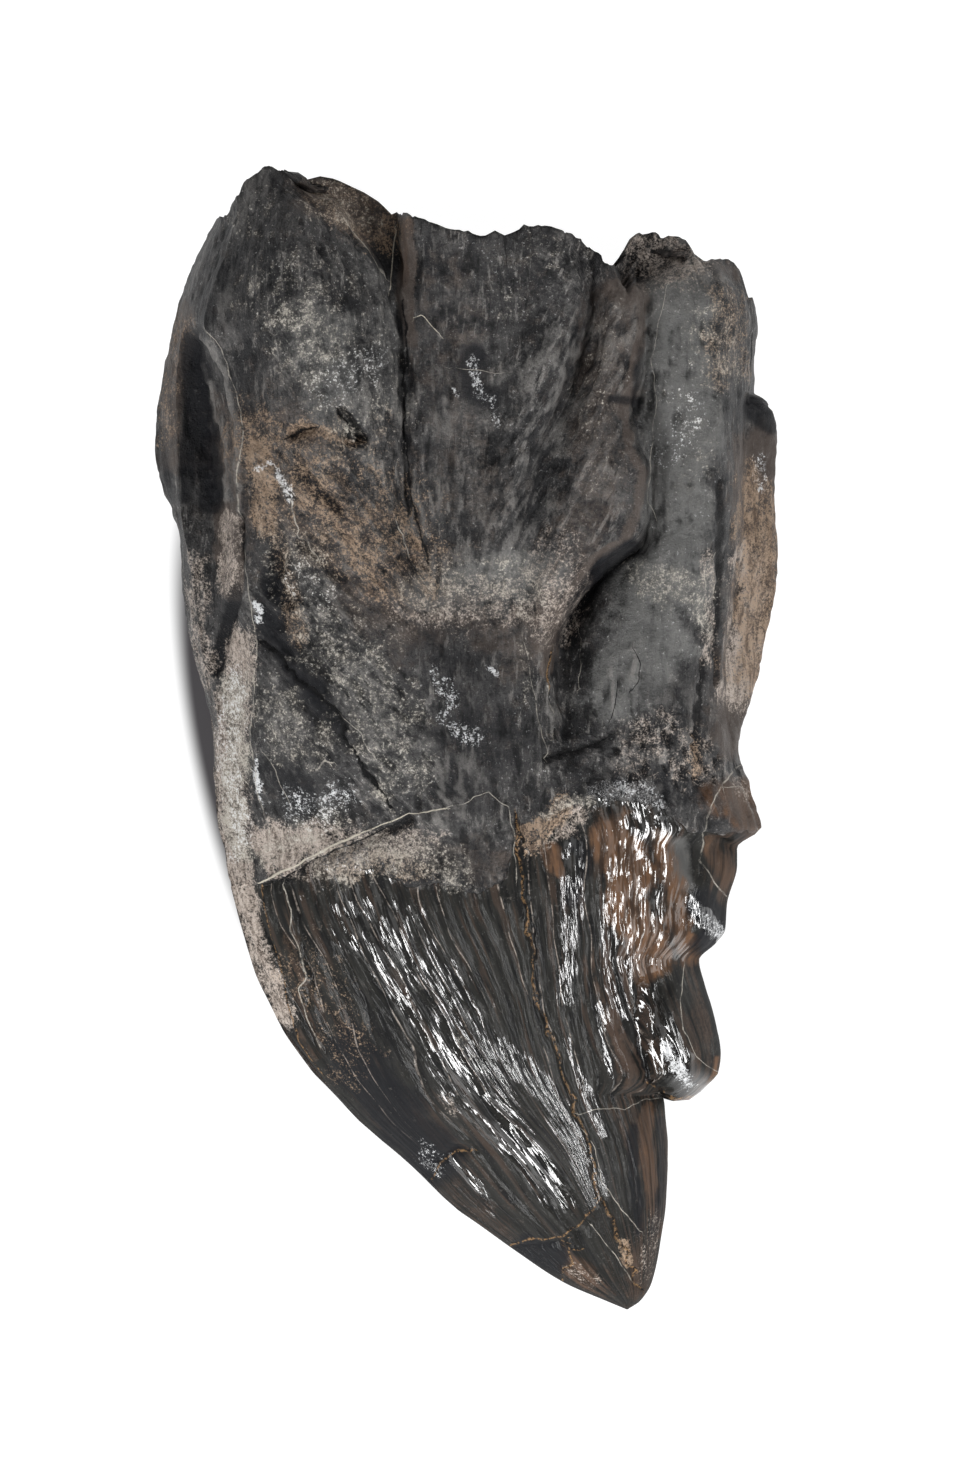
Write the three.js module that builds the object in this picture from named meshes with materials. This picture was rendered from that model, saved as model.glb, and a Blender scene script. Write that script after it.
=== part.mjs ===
// A fossil cheek tooth of an early toothed whale, lying on its tongue side.
//
// The tooth is one mineralised piece: an enamel crown that narrows to a bent
// cusp, with three denticles on its rear edge, on a root of grown-together
// lobes whose far end is broken off. +Y runs from the cusp to the broken root,
// +X to the denticles, +Z up from the surface that the tooth lies on.
// All lengths are in millimetres.
//
// The skin is a closed sphere grid laid over the tooth. Its columns follow
// named tracks, the ridges, furrows and broken rims that run along the tooth,
// and its rows are stations from the broken root to the cusp.
import * as THREE from "three";
import { mergeVertices } from "three/addons/utils/BufferGeometryUtils.js";

// ---- Driving dimensions ----
const TOOTH_LENGTH = 78.2; // cusp to the highest corner of the broken root
const TOOTH_WIDTH = 42.8; // across the root, over the slab behind its right lobe
const CUSP_Y = -39.4;
const ROOT_END_Y = 33.5; // mean height of the broken end, before its jagged profile
const JAG_REACH = 13; // how far down the root the broken profile bends the stations
const NECK_TOP_Y = 1.0; // the root's own shape ends between these two stations
const NECK_BOTTOM_Y = -8.5;
const RIDGE_HEIGHT = 0.24; // enamel ridge above or below the mean crown face
const BREAK_RINGS = 5; // rings that close the broken end
const BREAK_CENTRE = new THREE.Vector2(1.0, 9.5); // x and z of its middle
const BREAK_DISH = 2.6; // depth of its middle below its rim

// ---- Outline, seen from above ----
// Broken end of the root, as [x, y] from left to right.
const BROKEN_END = [
  [-16.4, 35.6], [-14.9, 37.9], [-13.2, 38.8], [-11.1, 38.1], [-9.4, 38.2],
  [-7.0, 37.0], [-5.2, 35.8], [-3.3, 35.3], [0.6, 34.3], [2.9, 34.3],
  [4.7, 34.9], [7.2, 34.2], [8.6, 33.2], [9.8, 32.1], [10.7, 32.6],
  [11.5, 34.4], [14.9, 33.9], [16.0, 32.2], [17.3, 32.7], [18.4, 32.3], [19.3, 30.2],
];
// Edges of the tooth, as [y, x] from the root to the cusp.
const LEFT_EDGE = [
  [38.2, -14.9], [35.4, -17.1], [31.1, -19.3], [26.6, -20.5], [20.4, -21.5], [18.5, -21.3],
  [16.0, -20.5], [13.9, -19.8], [10.9, -19.6], [6.7, -19.0], [2.6, -17.9], [-0.8, -17.4],
  [-4.2, -17.3], [-7.6, -16.8], [-11.4, -15.9], [-15.9, -14.6], [-18.3, -13.5], [-21.0, -12.0],
  [-25.8, -7.9], [-29.2, -4.1], [-32.0, -1.1], [-34.7, 2.5], [-37.5, 6.6], [-38.9, 9.8], [CUSP_Y, 11.0],
];
const RIGHT_EDGE = [
  [31.1, 19.4], [28.3, 19.7], [25.6, 19.4], [23.3, 19.3], [22.4, 21.0], [20.4, 21.3],
  [16.3, 21.1], [11.5, 21.3], [6.1, 20.4], [2.6, 19.5], [0.4, 18.7], [-0.8, 18.5],
  [-3.5, 19.4], [-6.1, 20.2], [-7.5, 18.5], [-8.7, 18.5], [-11.4, 17.8], [-13.1, 17.7],
  [-14.1, 17.0], [-15.2, 15.9], [-16.9, 16.3], [-18.9, 16.9], [-21.7, 17.4], [-22.9, 17.2],
  [-23.3, 16.5], [-23.6, 16.0], [-23.9, 15.1], [-24.1, 14.4], [-24.25, 13.7], [-24.4, 13.3],
  [-24.8, 13.5], [-25.7, 13.6], [-28.2, 13.8], [-31.6, 13.7], [-34.7, 13.3], [-37.5, 12.7],
  [-38.8, 11.9], [CUSP_Y, 11.0],
];
// Edge the crown would have without its denticles.
const BODY_EDGE = [[2.0, 18.6], [-9.7, 16.6], [-16.9, 15.2], [-24.4, 13.3], [-28.2, 13.8],
  [-31.6, 13.7], [-34.7, 13.3], [-37.5, 12.7], [-38.8, 11.9], [CUSP_Y, 11.0]];
const DENTICLE_FROM = 0.74; // share of the crown's width where the denticles begin
// The lowest denticle hangs like a hook: its stations sag by [y, drop].
const HOOK_DROP = [[-21.7, 0], [-22.9, 0.2], [-23.3, 0.5], [-23.6, 0.7], [-23.9, 1.0], [-24.1, 0.8],
  [-24.25, 0.45], [-24.4, 0]];
const HOOK_FROM = 0.88; // share of the crown's width where the sag begins

// ---- Tracks along the root, upper face from left to right ----
// x and z are [y, value] knots. steps is the number of grid columns up to the
// next track, crown is the track's share of the crown's width, and a sharp
// track is a broken rim or a foot rather than a rounded ridge or furrow.
const UPPER_TRACKS = [
  { name: "left edge", steps: 2, crown: 0, x: LEFT_EDGE,
    z: [[38.3, 10.5], [33.5, 9.0], [30.0, 8.5], [20.4, 8.0], [14.3, 9.0], [2.6, 9.5], [-9.7, 9.0]] },
  { name: "outer flank", steps: 1, crown: 0.02, sharp: true,
    x: [[35.0, -16.9], [31.1, -18.6], [28.0, -19.5], [24.0, -19.9], [16.3, -19.6], [12.2, -19.0],
      [6.7, -18.3], [2.6, -17.3], [-8.3, -16.1]],
    z: [[35.0, 14.5], [31.0, 13.2], [24.0, 12.2], [16.3, 12.0], [12.0, 12.6], [2.6, 12.2], [-8.3, 10.8]] },
  { name: "flank hollow", steps: 1, crown: 0.04,
    x: [[35.0, -16.3], [30.0, -18.3], [28.0, -18.9], [24.0, -18.6], [19.8, -18.3], [12.2, -17.9],
      [6.7, -16.9], [2.6, -16.0], [-8.3, -15.2]],
    z: [[35.0, 16.2], [30.0, 15.0], [26.6, 12.8], [20.0, 11.8], [16.3, 12.0], [12.2, 13.2], [2.6, 13.4],
      [-8.3, 11.8]] },
  { name: "left lobe edge", steps: 7, crown: 0.07, sharp: true,
    x: [[35.0, -15.6], [30.5, -17.3], [28.3, -17.9], [25.9, -16.6], [22.0, -15.6], [15.0, -15.5],
      [9.5, -15.5], [6.7, -14.6], [2.6, -14.5], [-9.7, -14.1]],
    z: [[35.0, 18.0], [29.4, 17.8], [23.2, 18.0], [15.0, 17.4], [9.5, 17.0], [2.6, 16.0], [-9.7, 12.8]] },
  { name: "left lobe crest", steps: 4, crown: 0.25,
    x: [[33.8, -12.5], [30.0, -12.0], [23.2, -10.2], [9.5, -9.8], [2.6, -9.1], [-9.7, -8.0]],
    z: [[38.5, 18.6], [34.0, 21.2], [26.6, 22.0], [20.0, 21.6], [13.0, 20.2], [2.6, 18.8], [-9.7, 17.0]] },
  { name: "left lobe broken rim", steps: 2, crown: 0.34, sharp: true,
    x: [[38.4, -12.4], [37.0, -11.2], [35.6, -8.8], [34.2, -7.9], [33.6, -7.3], [31.3, -5.9],
      [29.0, -6.0], [22.0, -6.5], [9.5, -5.6], [2.6, -5.0], [-9.7, -4.6]],
    z: [[38.5, 18.2], [34.0, 18.8], [31.3, 18.8], [29.0, 19.6], [22.0, 20.0], [13.0, 19.6], [2.6, 19.0],
      [-9.7, 17.8]] },
  { name: "window foot", steps: 2, crown: 0.385, sharp: true,
    x: [[38.4, -11.9], [37.0, -10.7], [35.6, -8.2], [34.2, -7.3], [33.4, -6.7], [31.3, -5.5],
      [29.0, -5.5], [22.0, -5.4], [9.5, -4.4], [2.6, -3.7], [-9.7, -3.4]],
    z: [[38.5, 16.6], [34.0, 16.2], [32.4, 16.2], [31.0, 17.8], [29.0, 18.9], [22.0, 19.3],
      [13.0, 19.2], [2.6, 18.9], [-9.7, 17.9]] },
  { name: "left furrow", steps: 2, crown: 0.43, sharp: true,
    x: [[33.8, -4.8], [30.7, -4.7], [26.6, -4.4], [16.3, -4.2], [12.9, -3.4], [9.5, -2.4], [2.6, -1.9],
      [-9.7, -1.9]],
    z: [[38.5, 16.6], [32.6, 16.2], [31.0, 17.2], [29.0, 17.9], [23.0, 18.2], [16.3, 18.2], [9.5, 18.4],
      [2.6, 18.7], [-9.7, 18.0]] },
  { name: "middle lobe left ridge", steps: 3, crown: 0.475,
    x: [[33.8, -3.9], [30.0, -3.5], [19.8, -3.4], [12.9, -2.3], [9.5, -1.5], [2.6, -0.8], [-9.7, -0.5]],
    z: [[33.5, 19.3], [20.0, 19.2], [9.5, 18.9], [2.6, 19.0], [-9.7, 18.2]] },
  { name: "middle channel", steps: 3, crown: 0.55,
    x: [[33.8, 0.9], [23.2, 1.0], [16.3, 0.4], [12.2, 0.0], [8.1, 0.6], [2.6, 1.7], [-9.7, 2.6]],
    z: [[33.8, 19.2], [28.0, 18.6], [18.0, 18.2], [12.2, 18.4], [8.1, 19.1], [2.6, 19.4], [-9.7, 18.4]] },
  { name: "middle lobe ridge", steps: 2, crown: 0.62,
    x: [[33.8, 6.3], [30.2, 7.6], [23.5, 5.8], [19.7, 3.9], [16.3, 3.1], [12.2, 2.9], [2.6, 3.7],
      [-9.7, 4.3]],
    z: [[33.8, 20.0], [27.0, 20.0], [20.0, 19.5], [12.0, 19.0], [2.6, 19.2], [-9.7, 18.3]] },
  { name: "narrow furrow", steps: 2, crown: 0.67,
    x: [[33.8, 8.0], [29.5, 8.7], [24.3, 7.4], [19.9, 5.4], [14.3, 4.2], [9.5, 4.0], [2.6, 4.5],
      [-9.7, 5.5]],
    z: [[33.8, 18.9], [28.0, 18.1], [20.0, 18.0], [12.0, 18.5], [2.6, 18.9], [-9.7, 18.2]] },
  { name: "plate crest", steps: 2, crown: 0.715,
    x: [[33.8, 9.0], [28.7, 10.0], [25.6, 9.4], [20.3, 8.2], [17.0, 7.2], [12.2, 5.9], [8.1, 5.0],
      [2.6, 5.1], [-9.7, 6.9]],
    z: [[33.8, 18.9], [28.0, 20.0], [20.0, 20.0], [12.2, 19.6], [6.0, 18.9], [2.6, 18.3], [-9.7, 17.8]] },
  { name: "plate rim", steps: 1, crown: 0.765, sharp: true,
    x: [[32.6, 9.9], [30.0, 11.6], [24.9, 11.5], [22.6, 10.9], [20.1, 11.3], [18.4, 12.0], [15.3, 12.0],
      [13.7, 11.5], [12.3, 9.4], [9.7, 7.2], [7.1, 5.9], [4.7, 5.6], [1.3, 5.9], [-4.2, 8.0], [-9.7, 8.5]],
    z: [[32.6, 17.2], [30.0, 18.9], [15.3, 18.9], [9.7, 18.5], [5.0, 18.0], [0.8, 17.4], [-9.7, 17.4]] },
  { name: "plate foot", steps: 2, crown: 0.79, sharp: true,
    x: [[32.6, 10.4], [30.0, 12.1], [24.9, 12.0], [22.6, 11.4], [20.1, 11.8], [18.4, 12.5], [15.3, 12.5],
      [13.4, 12.1], [11.8, 10.0], [9.4, 7.8], [6.9, 6.5], [4.7, 6.2], [1.3, 6.6], [-4.2, 9.4],
      [-9.7, 10.0]],
    z: [[32.6, 16.2], [30.0, 17.0], [20.0, 16.8], [15.3, 16.0], [13.4, 14.4], [9.4, 13.6], [6.0, 14.6],
      [3.0, 16.0], [0.0, 17.1], [-9.7, 17.0]] },
  { name: "right lobe shoulder", steps: 3, crown: 0.84,
    x: [[33.8, 12.6], [30.0, 14.0], [27.3, 13.7], [18.4, 13.8], [15.0, 13.5], [11.5, 12.0], [8.1, 10.6],
      [2.6, 9.6], [-4.2, 11.3], [-9.7, 11.8]],
    z: [[33.8, 15.4], [29.0, 17.4], [18.0, 17.2], [13.0, 16.6], [6.0, 16.4], [0.0, 16.9], [-9.7, 16.4]] },
  { name: "right lobe crest", steps: 2, crown: 0.91,
    x: [[32.8, 15.9], [30.0, 16.6], [16.3, 16.3], [9.5, 15.2], [2.6, 14.0], [-9.7, 14.6]],
    z: [[33.0, 15.2], [29.5, 17.2], [20.0, 17.4], [9.5, 17.0], [0.0, 16.6], [-9.7, 14.6]] },
  { name: "right lobe rim", steps: 1, crown: 0.96, sharp: true,
    x: [[32.1, 18.4], [29.4, 19.1], [24.6, 18.8], [15.0, 18.4], [9.5, 17.8], [5.4, 17.3], [2.0, 17.3],
      [-0.8, 17.5], [-4.2, 17.4], [-9.7, 16.7]],
    z: [[32.1, 12.8], [20.0, 13.2], [2.0, 13.3], [-9.7, 12.0]] },
  { name: "slab foot", steps: 1, crown: 0.98, sharp: true,
    x: [[31.7, 18.9], [29.4, 19.4], [23.9, 19.1], [15.0, 19.0], [9.5, 18.3], [5.4, 17.8], [2.0, 17.8],
      [-0.8, 18.1], [-4.2, 18.5], [-9.7, 17.6]],
    z: [[31.7, 11.5], [23.8, 11.2], [22.6, 8.6], [9.5, 8.2], [2.6, 8.6], [-0.8, 10.0], [-9.7, 10.4]] },
];
const RIGHT_TRACK = { name: "right edge", steps: 3, crown: 1, x: RIGHT_EDGE,
  z: [[32.6, 10.5], [23.3, 10.3], [22.4, 6.5], [9.5, 5.5], [2.6, 6.0], [-0.4, 8.5], [-9.7, 9.2]] };
// Tracks along the hidden face, from right to left. A knot below the ground is
// flattened to a resting facet.
const LOWER_TRACKS = [
  { name: "right underside", steps: 5, crown: 0.9,
    x: [[33.0, 17.6], [20.0, 18.8], [5.0, 17.2], [-9.7, 16.2]],
    z: [[33.0, 4.6], [20.0, 2.2], [5.0, 2.6], [-9.7, 4.4]] },
  { name: "right belly", steps: 5, crown: 0.7,
    x: [[33.0, 11.0], [15.0, 11.4], [-9.7, 9.5]],
    z: [[34.0, 2.2], [27.0, -0.5], [8.0, -0.5], [0.0, 1.0], [-9.7, 1.6]] },
  { name: "under furrow", steps: 5, crown: 0.5,
    x: [[33.0, 1.5], [-9.7, 2.2]],
    z: [[34.0, 5.4], [22.0, 4.2], [6.0, 2.8], [-9.7, 1.5]] },
  { name: "left belly", steps: 5, crown: 0.3,
    x: [[33.0, -9.6], [15.0, -9.0], [-9.7, -5.4]],
    z: [[37.0, 3.0], [29.0, -0.5], [10.0, -0.5], [0.0, 1.0], [-9.7, 1.8]] },
  { name: "left underside", steps: 3, crown: 0.1,
    x: [[35.0, -15.4], [20.0, -17.6], [5.0, -15.6], [-9.7, -12.6]],
    z: [[35.0, 5.6], [20.0, 3.4], [5.0, 4.4], [-9.7, 5.2]] },
];

// ---- The crown ----
const EDGE_HEIGHT = [[2.0, 9.4], [-9.7, 9.1], [-16.9, 8.1], [-22.0, 7.0], [-28.2, 5.5], [-35.0, 4.0],
  [CUSP_Y, 3.1]];
const CREST_SHARE = [[0.0, 0.58], [-9.7, 0.6], [-18.0, 0.63], [-25.0, 0.68], [-32.0, 0.72], [CUSP_Y, 0.75]];
const UPPER_RISE = [[2.0, 9.6], [-9.7, 9.4], [-17.9, 8.6], [-24.8, 7.2], [-31.6, 5.2], [-36.0, 3.0],
  [-38.4, 1.3], [CUSP_Y, 0]];
const LOWER_SAG = [[2.0, 8.2], [-9.7, 7.4], [-17.9, 7.2], [-25.0, 6.9], [-29.0, 6.3], [-33.0, 5.0],
  [-36.5, 2.4], [-38.4, 1.1], [CUSP_Y, 0]];

// Ragged line where the root's cement ends on the enamel, as [x, y].
const CERVIX = [[-15.0, -9.8], [-12.7, -9.9], [-6.7, -9.1], [-3.8, -9.9], [0.4, -10.3], [2.6, -9.3],
  [3.2, -5.2], [5.5, -4.4], [9.0, -4.0], [12.5, -4.3], [15.2, -6.3]];
const CEMENT_LIP = 0.3; // thickness of the cement over the enamel

// ---- Relief cut into or raised on the upper face ----
// path is [x, y]; height is at the line and fades to nothing at reach.
const FOLDS = [
  { name: "notch above the cusp", height: -1.1, reach: 1.5, path: [[13.1, -24.7], [12.3, -23.8],
    [12.2, -21.5], [12.4, -19.0], [12.8, -16.8]] },
  { name: "hook keel", height: 0.5, reach: 1.8, path: [[14.0, -16.2], [14.4, -19.5], [15.4, -22.4],
    [16.8, -23.6]] },
  { name: "middle denticle notch", height: -0.8, reach: 1.3, path: [[16.0, -15.2], [15.2, -14.4],
    [14.6, -12.4]] },
  { name: "middle denticle swell", height: 0.6, reach: 1.6, path: [[16.2, -10.2], [16.6, -13.4]] },
  { name: "upper denticle keel", height: 0.7, reach: 1.5, path: [[18.0, -3.4], [19.0, -6.0]] },
  { name: "upper denticle notch", height: -0.7, reach: 1.2, path: [[18.6, -7.7], [17.2, -7.2],
    [16.4, -5.6]] },
];
// Broken openings: a polygon of [x, y] whose face drops to floor.
const BREAKS = [
  { name: "broken end of the right lobe", floor: 14.4, wall: 1.2,
    outline: [[9.9, 32.9], [10.2, 30.9], [12.4, 30.5], [15.4, 32.2], [16.6, 34.8], [12.0, 36.4]] },
];

// Cubic through the knots that never overshoots them, as a function of y.
function track(knots) {
  const points = [...knots].sort((a, b) => a[0] - b[0]);
  const slopes = points.slice(1).map((p, i) => (p[1] - points[i][1]) / (p[0] - points[i][0]));
  const tangents = points.map((_, i) => {
    const before = slopes[i - 1];
    const after = slopes[i];
    if (before === undefined || after === undefined) return before ?? after;
    return before * after <= 0 ? 0 : (2 * before * after) / (before + after);
  });
  return (y) => {
    if (y <= points[0][0]) return points[0][1];
    const i = points.findIndex((p) => p[0] >= y) - 1;
    if (i < 0) return points[points.length - 1][1];
    const gap = points[i + 1][0] - points[i][0];
    const t = (y - points[i][0]) / gap;
    return points[i][1] * (1 + 2 * t) * (1 - t) ** 2 + tangents[i] * gap * t * (1 - t) ** 2 +
      points[i + 1][1] * t * t * (3 - 2 * t) + tangents[i + 1] * gap * t * t * (t - 1);
  };
}

// Distance from (x, y) to a path.
function distanceToPath(path, x, y) {
  let nearest = Infinity;
  for (let i = 1; i < path.length; i++) {
    const [ax, ay] = path[i - 1];
    const [bx, by] = path[i];
    const along = ((x - ax) * (bx - ax) + (y - ay) * (by - ay)) / ((bx - ax) ** 2 + (by - ay) ** 2);
    const t = THREE.MathUtils.clamp(along, 0, 1);
    nearest = Math.min(nearest, Math.hypot(x - ax - t * (bx - ax), y - ay - t * (by - ay)));
  }
  return nearest;
}

// Distance inside a closed outline; negative outside it.
function depthInside(outline, x, y) {
  let inside = false;
  outline.forEach(([ax, ay], i) => {
    const [bx, by] = outline[(i + 1) % outline.length];
    if (ay > y !== by > y && x < ax + ((bx - ax) * (y - ay)) / (by - ay)) inside = !inside;
  });
  const edge = distanceToPath([...outline, outline[0]], x, y);
  return inside ? edge : -edge;
}

const TRACKS = [...UPPER_TRACKS, RIGHT_TRACK, ...LOWER_TRACKS]
  .map((t) => ({ ...t, xAt: track(t.x), zAt: track(t.z) }));
const RIGHT_INDEX = UPPER_TRACKS.length;
const leftEdge = track(LEFT_EDGE);
const rightEdge = track(RIGHT_EDGE);
const bodyEdge = track(BODY_EDGE);
const brokenEnd = track(BROKEN_END);
const hookDrop = track(HOOK_DROP);
const edgeHeight = track(EDGE_HEIGHT);
const cervix = track(CERVIX);
const crestShare = track(CREST_SHARE);
const upperRise = track(UPPER_RISE);
const lowerSag = track(LOWER_SAG);

// Place of each grid column in the loop of tracks: 2.5 is midway from track 2 to track 3.
const COLUMN_PLACES = TRACKS.flatMap((t, k) => Array.from({ length: t.steps }, (_, i) => k + i / t.steps));

// Stations from the broken end to the cusp, closer together where the outline turns sharply.
const STATION_SPANS = [
  [33.5, 25.0, 8], [25.0, 22.0, 3], [22.0, 1.0, 17], [1.0, -4.0, 4], [-4.0, -9.0, 6],
  [-9.0, -13.0, 4], [-13.0, -16.0, 4], [-16.0, -22.4, 6], [-22.4, -24.9, 5], [-24.9, CUSP_Y, 11],
];
const STATIONS = STATION_SPANS.flatMap(([from, to, count]) =>
  Array.from({ length: count }, (_, i) => from + ((to - from) * i) / count)).concat(CUSP_Y);

// Root section at height y: a smooth loop through the tracks that breaks at the sharp ones.
function rootPoint(place, y) {
  const count = TRACKS.length;
  const at = (k) => {
    const t = TRACKS[(k + count) % count];
    return new THREE.Vector2(t.xAt(y), t.zAt(y));
  };
  const k = Math.floor(place);
  const t = place - k;
  const [before, from, to, after] = [at(k - 1), at(k), at(k + 1), at(k + 2)];
  const chord = (a, b) => {
    const v = b.clone().sub(a);
    return { length: Math.max(v.length(), 0.05), direction: v.normalize() };
  };
  const [first, middle, last] = [chord(before, from), chord(from, to), chord(to, after)];
  const tangent = (a, b, sharp) => {
    if (sharp) return middle.direction.clone();
    const sum = a.direction.clone().multiplyScalar(b.length).addScaledVector(b.direction, a.length);
    return sum.divideScalar(a.length + b.length);
  };
  const leave = tangent(first, middle, TRACKS[k % count].sharp).multiplyScalar(middle.length);
  const arrive = tangent(middle, last, TRACKS[(k + 1) % count].sharp).multiplyScalar(middle.length);
  return from.clone().multiplyScalar((1 + 2 * t) * (1 - t) ** 2).addScaledVector(leave, t * (1 - t) ** 2)
    .addScaledVector(to, t * t * (3 - 2 * t)).addScaledVector(arrive, t * t * (t - 1));
}

// Share of the crown's width at a place in the loop, and the crown's lens-shaped section there.
function crownShare(place) {
  const k = Math.floor(place);
  return THREE.MathUtils.lerp(TRACKS[k].crown, TRACKS[(k + 1) % TRACKS.length].crown, place - k);
}

function crownPoint(place, y) {
  const share = crownShare(place);
  const crest = crestShare(y);
  const off = share < crest ? 1 - share / crest : (share - crest) / (1 - crest);
  const fullness = share < crest ? 1.6 : 2.1;
  const arch = (1 - Math.min(off, 1) ** fullness) ** 0.85;
  const denticle = (rightEdge(y) - bodyEdge(y)) * THREE.MathUtils.smoothstep(share, DENTICLE_FROM, 1);
  const x = THREE.MathUtils.lerp(leftEdge(y), bodyEdge(y), share) + denticle;
  const z = edgeHeight(y) + (place < RIGHT_INDEX ? upperRise(y) : -lowerSag(y)) * arch;
  return new THREE.Vector2(x, z);
}

// Low swells of the root's surface, which no two places share.
function swell(x, y, z) {
  const broad = 0.16 * Math.sin(0.55 * x + 0.31 * y + 1.3) * Math.sin(0.23 * y - 0.4 * z);
  return broad + 0.12 * Math.sin(1.1 * x - 0.17 * y) * Math.sin(0.9 * z + 0.6 * y);
}

function skinPoint(column, y0) {
  const place = COLUMN_PLACES[column];
  const upper = place <= RIGHT_INDEX;
  const rootShare = THREE.MathUtils.smoothstep(y0, NECK_BOTTOM_Y, NECK_TOP_Y);
  const jag = 1 - THREE.MathUtils.smoothstep(ROOT_END_Y - y0, 0, JAG_REACH);
  let y = y0;
  let at = new THREE.Vector2();
  for (let pass = 0; pass < 3; pass++) {
    at = crownPoint(place, y).lerp(rootPoint(place, y), rootShare);
    y = y0 + (brokenEnd(at.x) - ROOT_END_Y) * jag;
  }
  y -= hookDrop(y0) * THREE.MathUtils.smoothstep(crownShare(place), HOOK_FROM, 1);
  let [x, z] = [at.x, at.y];
  const enamel = 1 - THREE.MathUtils.smoothstep(y, cervix(x) - 1.4, cervix(x) + 0.2);
  const ridge = column % 2 ? RIDGE_HEIGHT : -RIDGE_HEIGHT;
  z += (upper ? 1 : -1) * (ridge - CEMENT_LIP) * enamel * Math.min(1, (y0 - CUSP_Y) / 7);
  z += swell(x, y, z) * rootShare;
  return new THREE.Vector3(x, y, z);
}

function relief(point) {
  const rise = point.z - edgeHeight(point.y);
  if (rise <= 0) return;
  for (const { height, reach, path } of FOLDS) {
    const nearness = 1 - THREE.MathUtils.smoothstep(distanceToPath(path, point.x, point.y), 0, reach);
    point.z += height * nearness * Math.min(1, rise / 2);
  }
  for (const { floor, wall, outline } of BREAKS) {
    const share = THREE.MathUtils.smoothstep(depthInside(outline, point.x, point.y), 0, wall);
    point.z -= share * Math.max(0, point.z - floor);
  }
}

// The broken end closes inwards from the first station, dished like a snapped root.
function brokenEndPoint(column, ring) {
  const rim = skinPoint(column, STATIONS[0]);
  relief(rim);
  const share = ring / BREAK_RINGS;
  const x = THREE.MathUtils.lerp(BREAK_CENTRE.x, rim.x, share);
  const z = THREE.MathUtils.lerp(BREAK_CENTRE.y, rim.z, share);
  const dish = BREAK_DISH * (1 - share ** 2) + (share < 1 ? swell(2 * x, 3 * z, x) * 2 : 0);
  return new THREE.Vector3(x, brokenEnd(x) - dish, z);
}

function toothGeometry() {
  const rows = BREAK_RINGS + STATIONS.length - 1;
  const columns = COLUMN_PLACES.length;
  const geometry = new THREE.SphereGeometry(1, columns, rows);
  const position = geometry.getAttribute("position");
  for (let i = 0; i < position.count; i++) {
    const row = Math.floor(i / (columns + 1));
    const column = (i % (columns + 1)) % columns;
    let point;
    if (row < BREAK_RINGS) {
      point = brokenEndPoint(row === 0 ? 0 : column, row);
    } else {
      point = skinPoint(column, STATIONS[row - BREAK_RINGS]);
      relief(point);
    }
    position.setXYZ(i, point.x, point.y, Math.max(point.z, 0));
  }
  geometry.deleteAttribute("normal");
  geometry.deleteAttribute("uv");
  const closed = mergeVertices(geometry, 1e-4);
  closed.computeBoundingBox();
  const box = closed.boundingBox;
  const size = box.getSize(new THREE.Vector3());
  closed.translate(-(box.min.x + box.max.x) / 2, -(box.min.y + box.max.y) / 2, -box.min.z);
  closed.scale(TOOTH_WIDTH / size.x, TOOTH_LENGTH / size.y, 1);
  return closed;
}

const petrified = new THREE.MeshStandardMaterial({ color: 0x2b2826, roughness: 0.45, metalness: 0 });
const tooth = new THREE.Mesh(toothGeometry(), petrified);
tooth.name = "whale_tooth";

const specimen = new THREE.Group();
specimen.add(tooth);
export default specimen;
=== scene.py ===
"""A fossil whale tooth on a white studio floor.

The tooth is one petrified piece that lies on its tongue side: a ridged enamel
crown bent to a cusp, with denticles on one edge, and a root of grown-together
lobes broken off at its end. Its skin is a closed grid. Columns follow named
tracks along the tooth, rows are stations from the broken root to the cusp.
Shapes are worked out in millimetres on the tooth's own plan, X to the
denticles and Y to the root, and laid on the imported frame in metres.
"""

import logging
import math
from dataclasses import dataclass, field
from enum import Enum

import bmesh
import bpy
import numpy as np
from mathutils import Matrix, Vector

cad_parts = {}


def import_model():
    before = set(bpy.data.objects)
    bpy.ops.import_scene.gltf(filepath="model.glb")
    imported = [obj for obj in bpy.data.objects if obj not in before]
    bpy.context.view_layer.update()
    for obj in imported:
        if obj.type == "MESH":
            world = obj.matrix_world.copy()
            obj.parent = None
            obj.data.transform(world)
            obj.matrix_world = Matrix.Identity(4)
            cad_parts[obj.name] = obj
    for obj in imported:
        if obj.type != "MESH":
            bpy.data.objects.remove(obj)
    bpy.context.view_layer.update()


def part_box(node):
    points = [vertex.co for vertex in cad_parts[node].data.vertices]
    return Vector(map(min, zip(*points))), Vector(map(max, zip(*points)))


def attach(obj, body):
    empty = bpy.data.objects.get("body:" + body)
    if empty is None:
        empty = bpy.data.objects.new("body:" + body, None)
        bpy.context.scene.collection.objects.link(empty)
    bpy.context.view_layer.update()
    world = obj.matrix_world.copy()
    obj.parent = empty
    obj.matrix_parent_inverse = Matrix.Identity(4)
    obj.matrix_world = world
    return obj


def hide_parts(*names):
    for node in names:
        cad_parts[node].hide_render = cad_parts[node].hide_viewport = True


LOG = logging.getLogger("whale_tooth")
MM = 0.001
Array = np.ndarray
Points = tuple[tuple[float, float], ...]
Plan = tuple[Array, Array]  # X and Y of points on the plan

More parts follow.
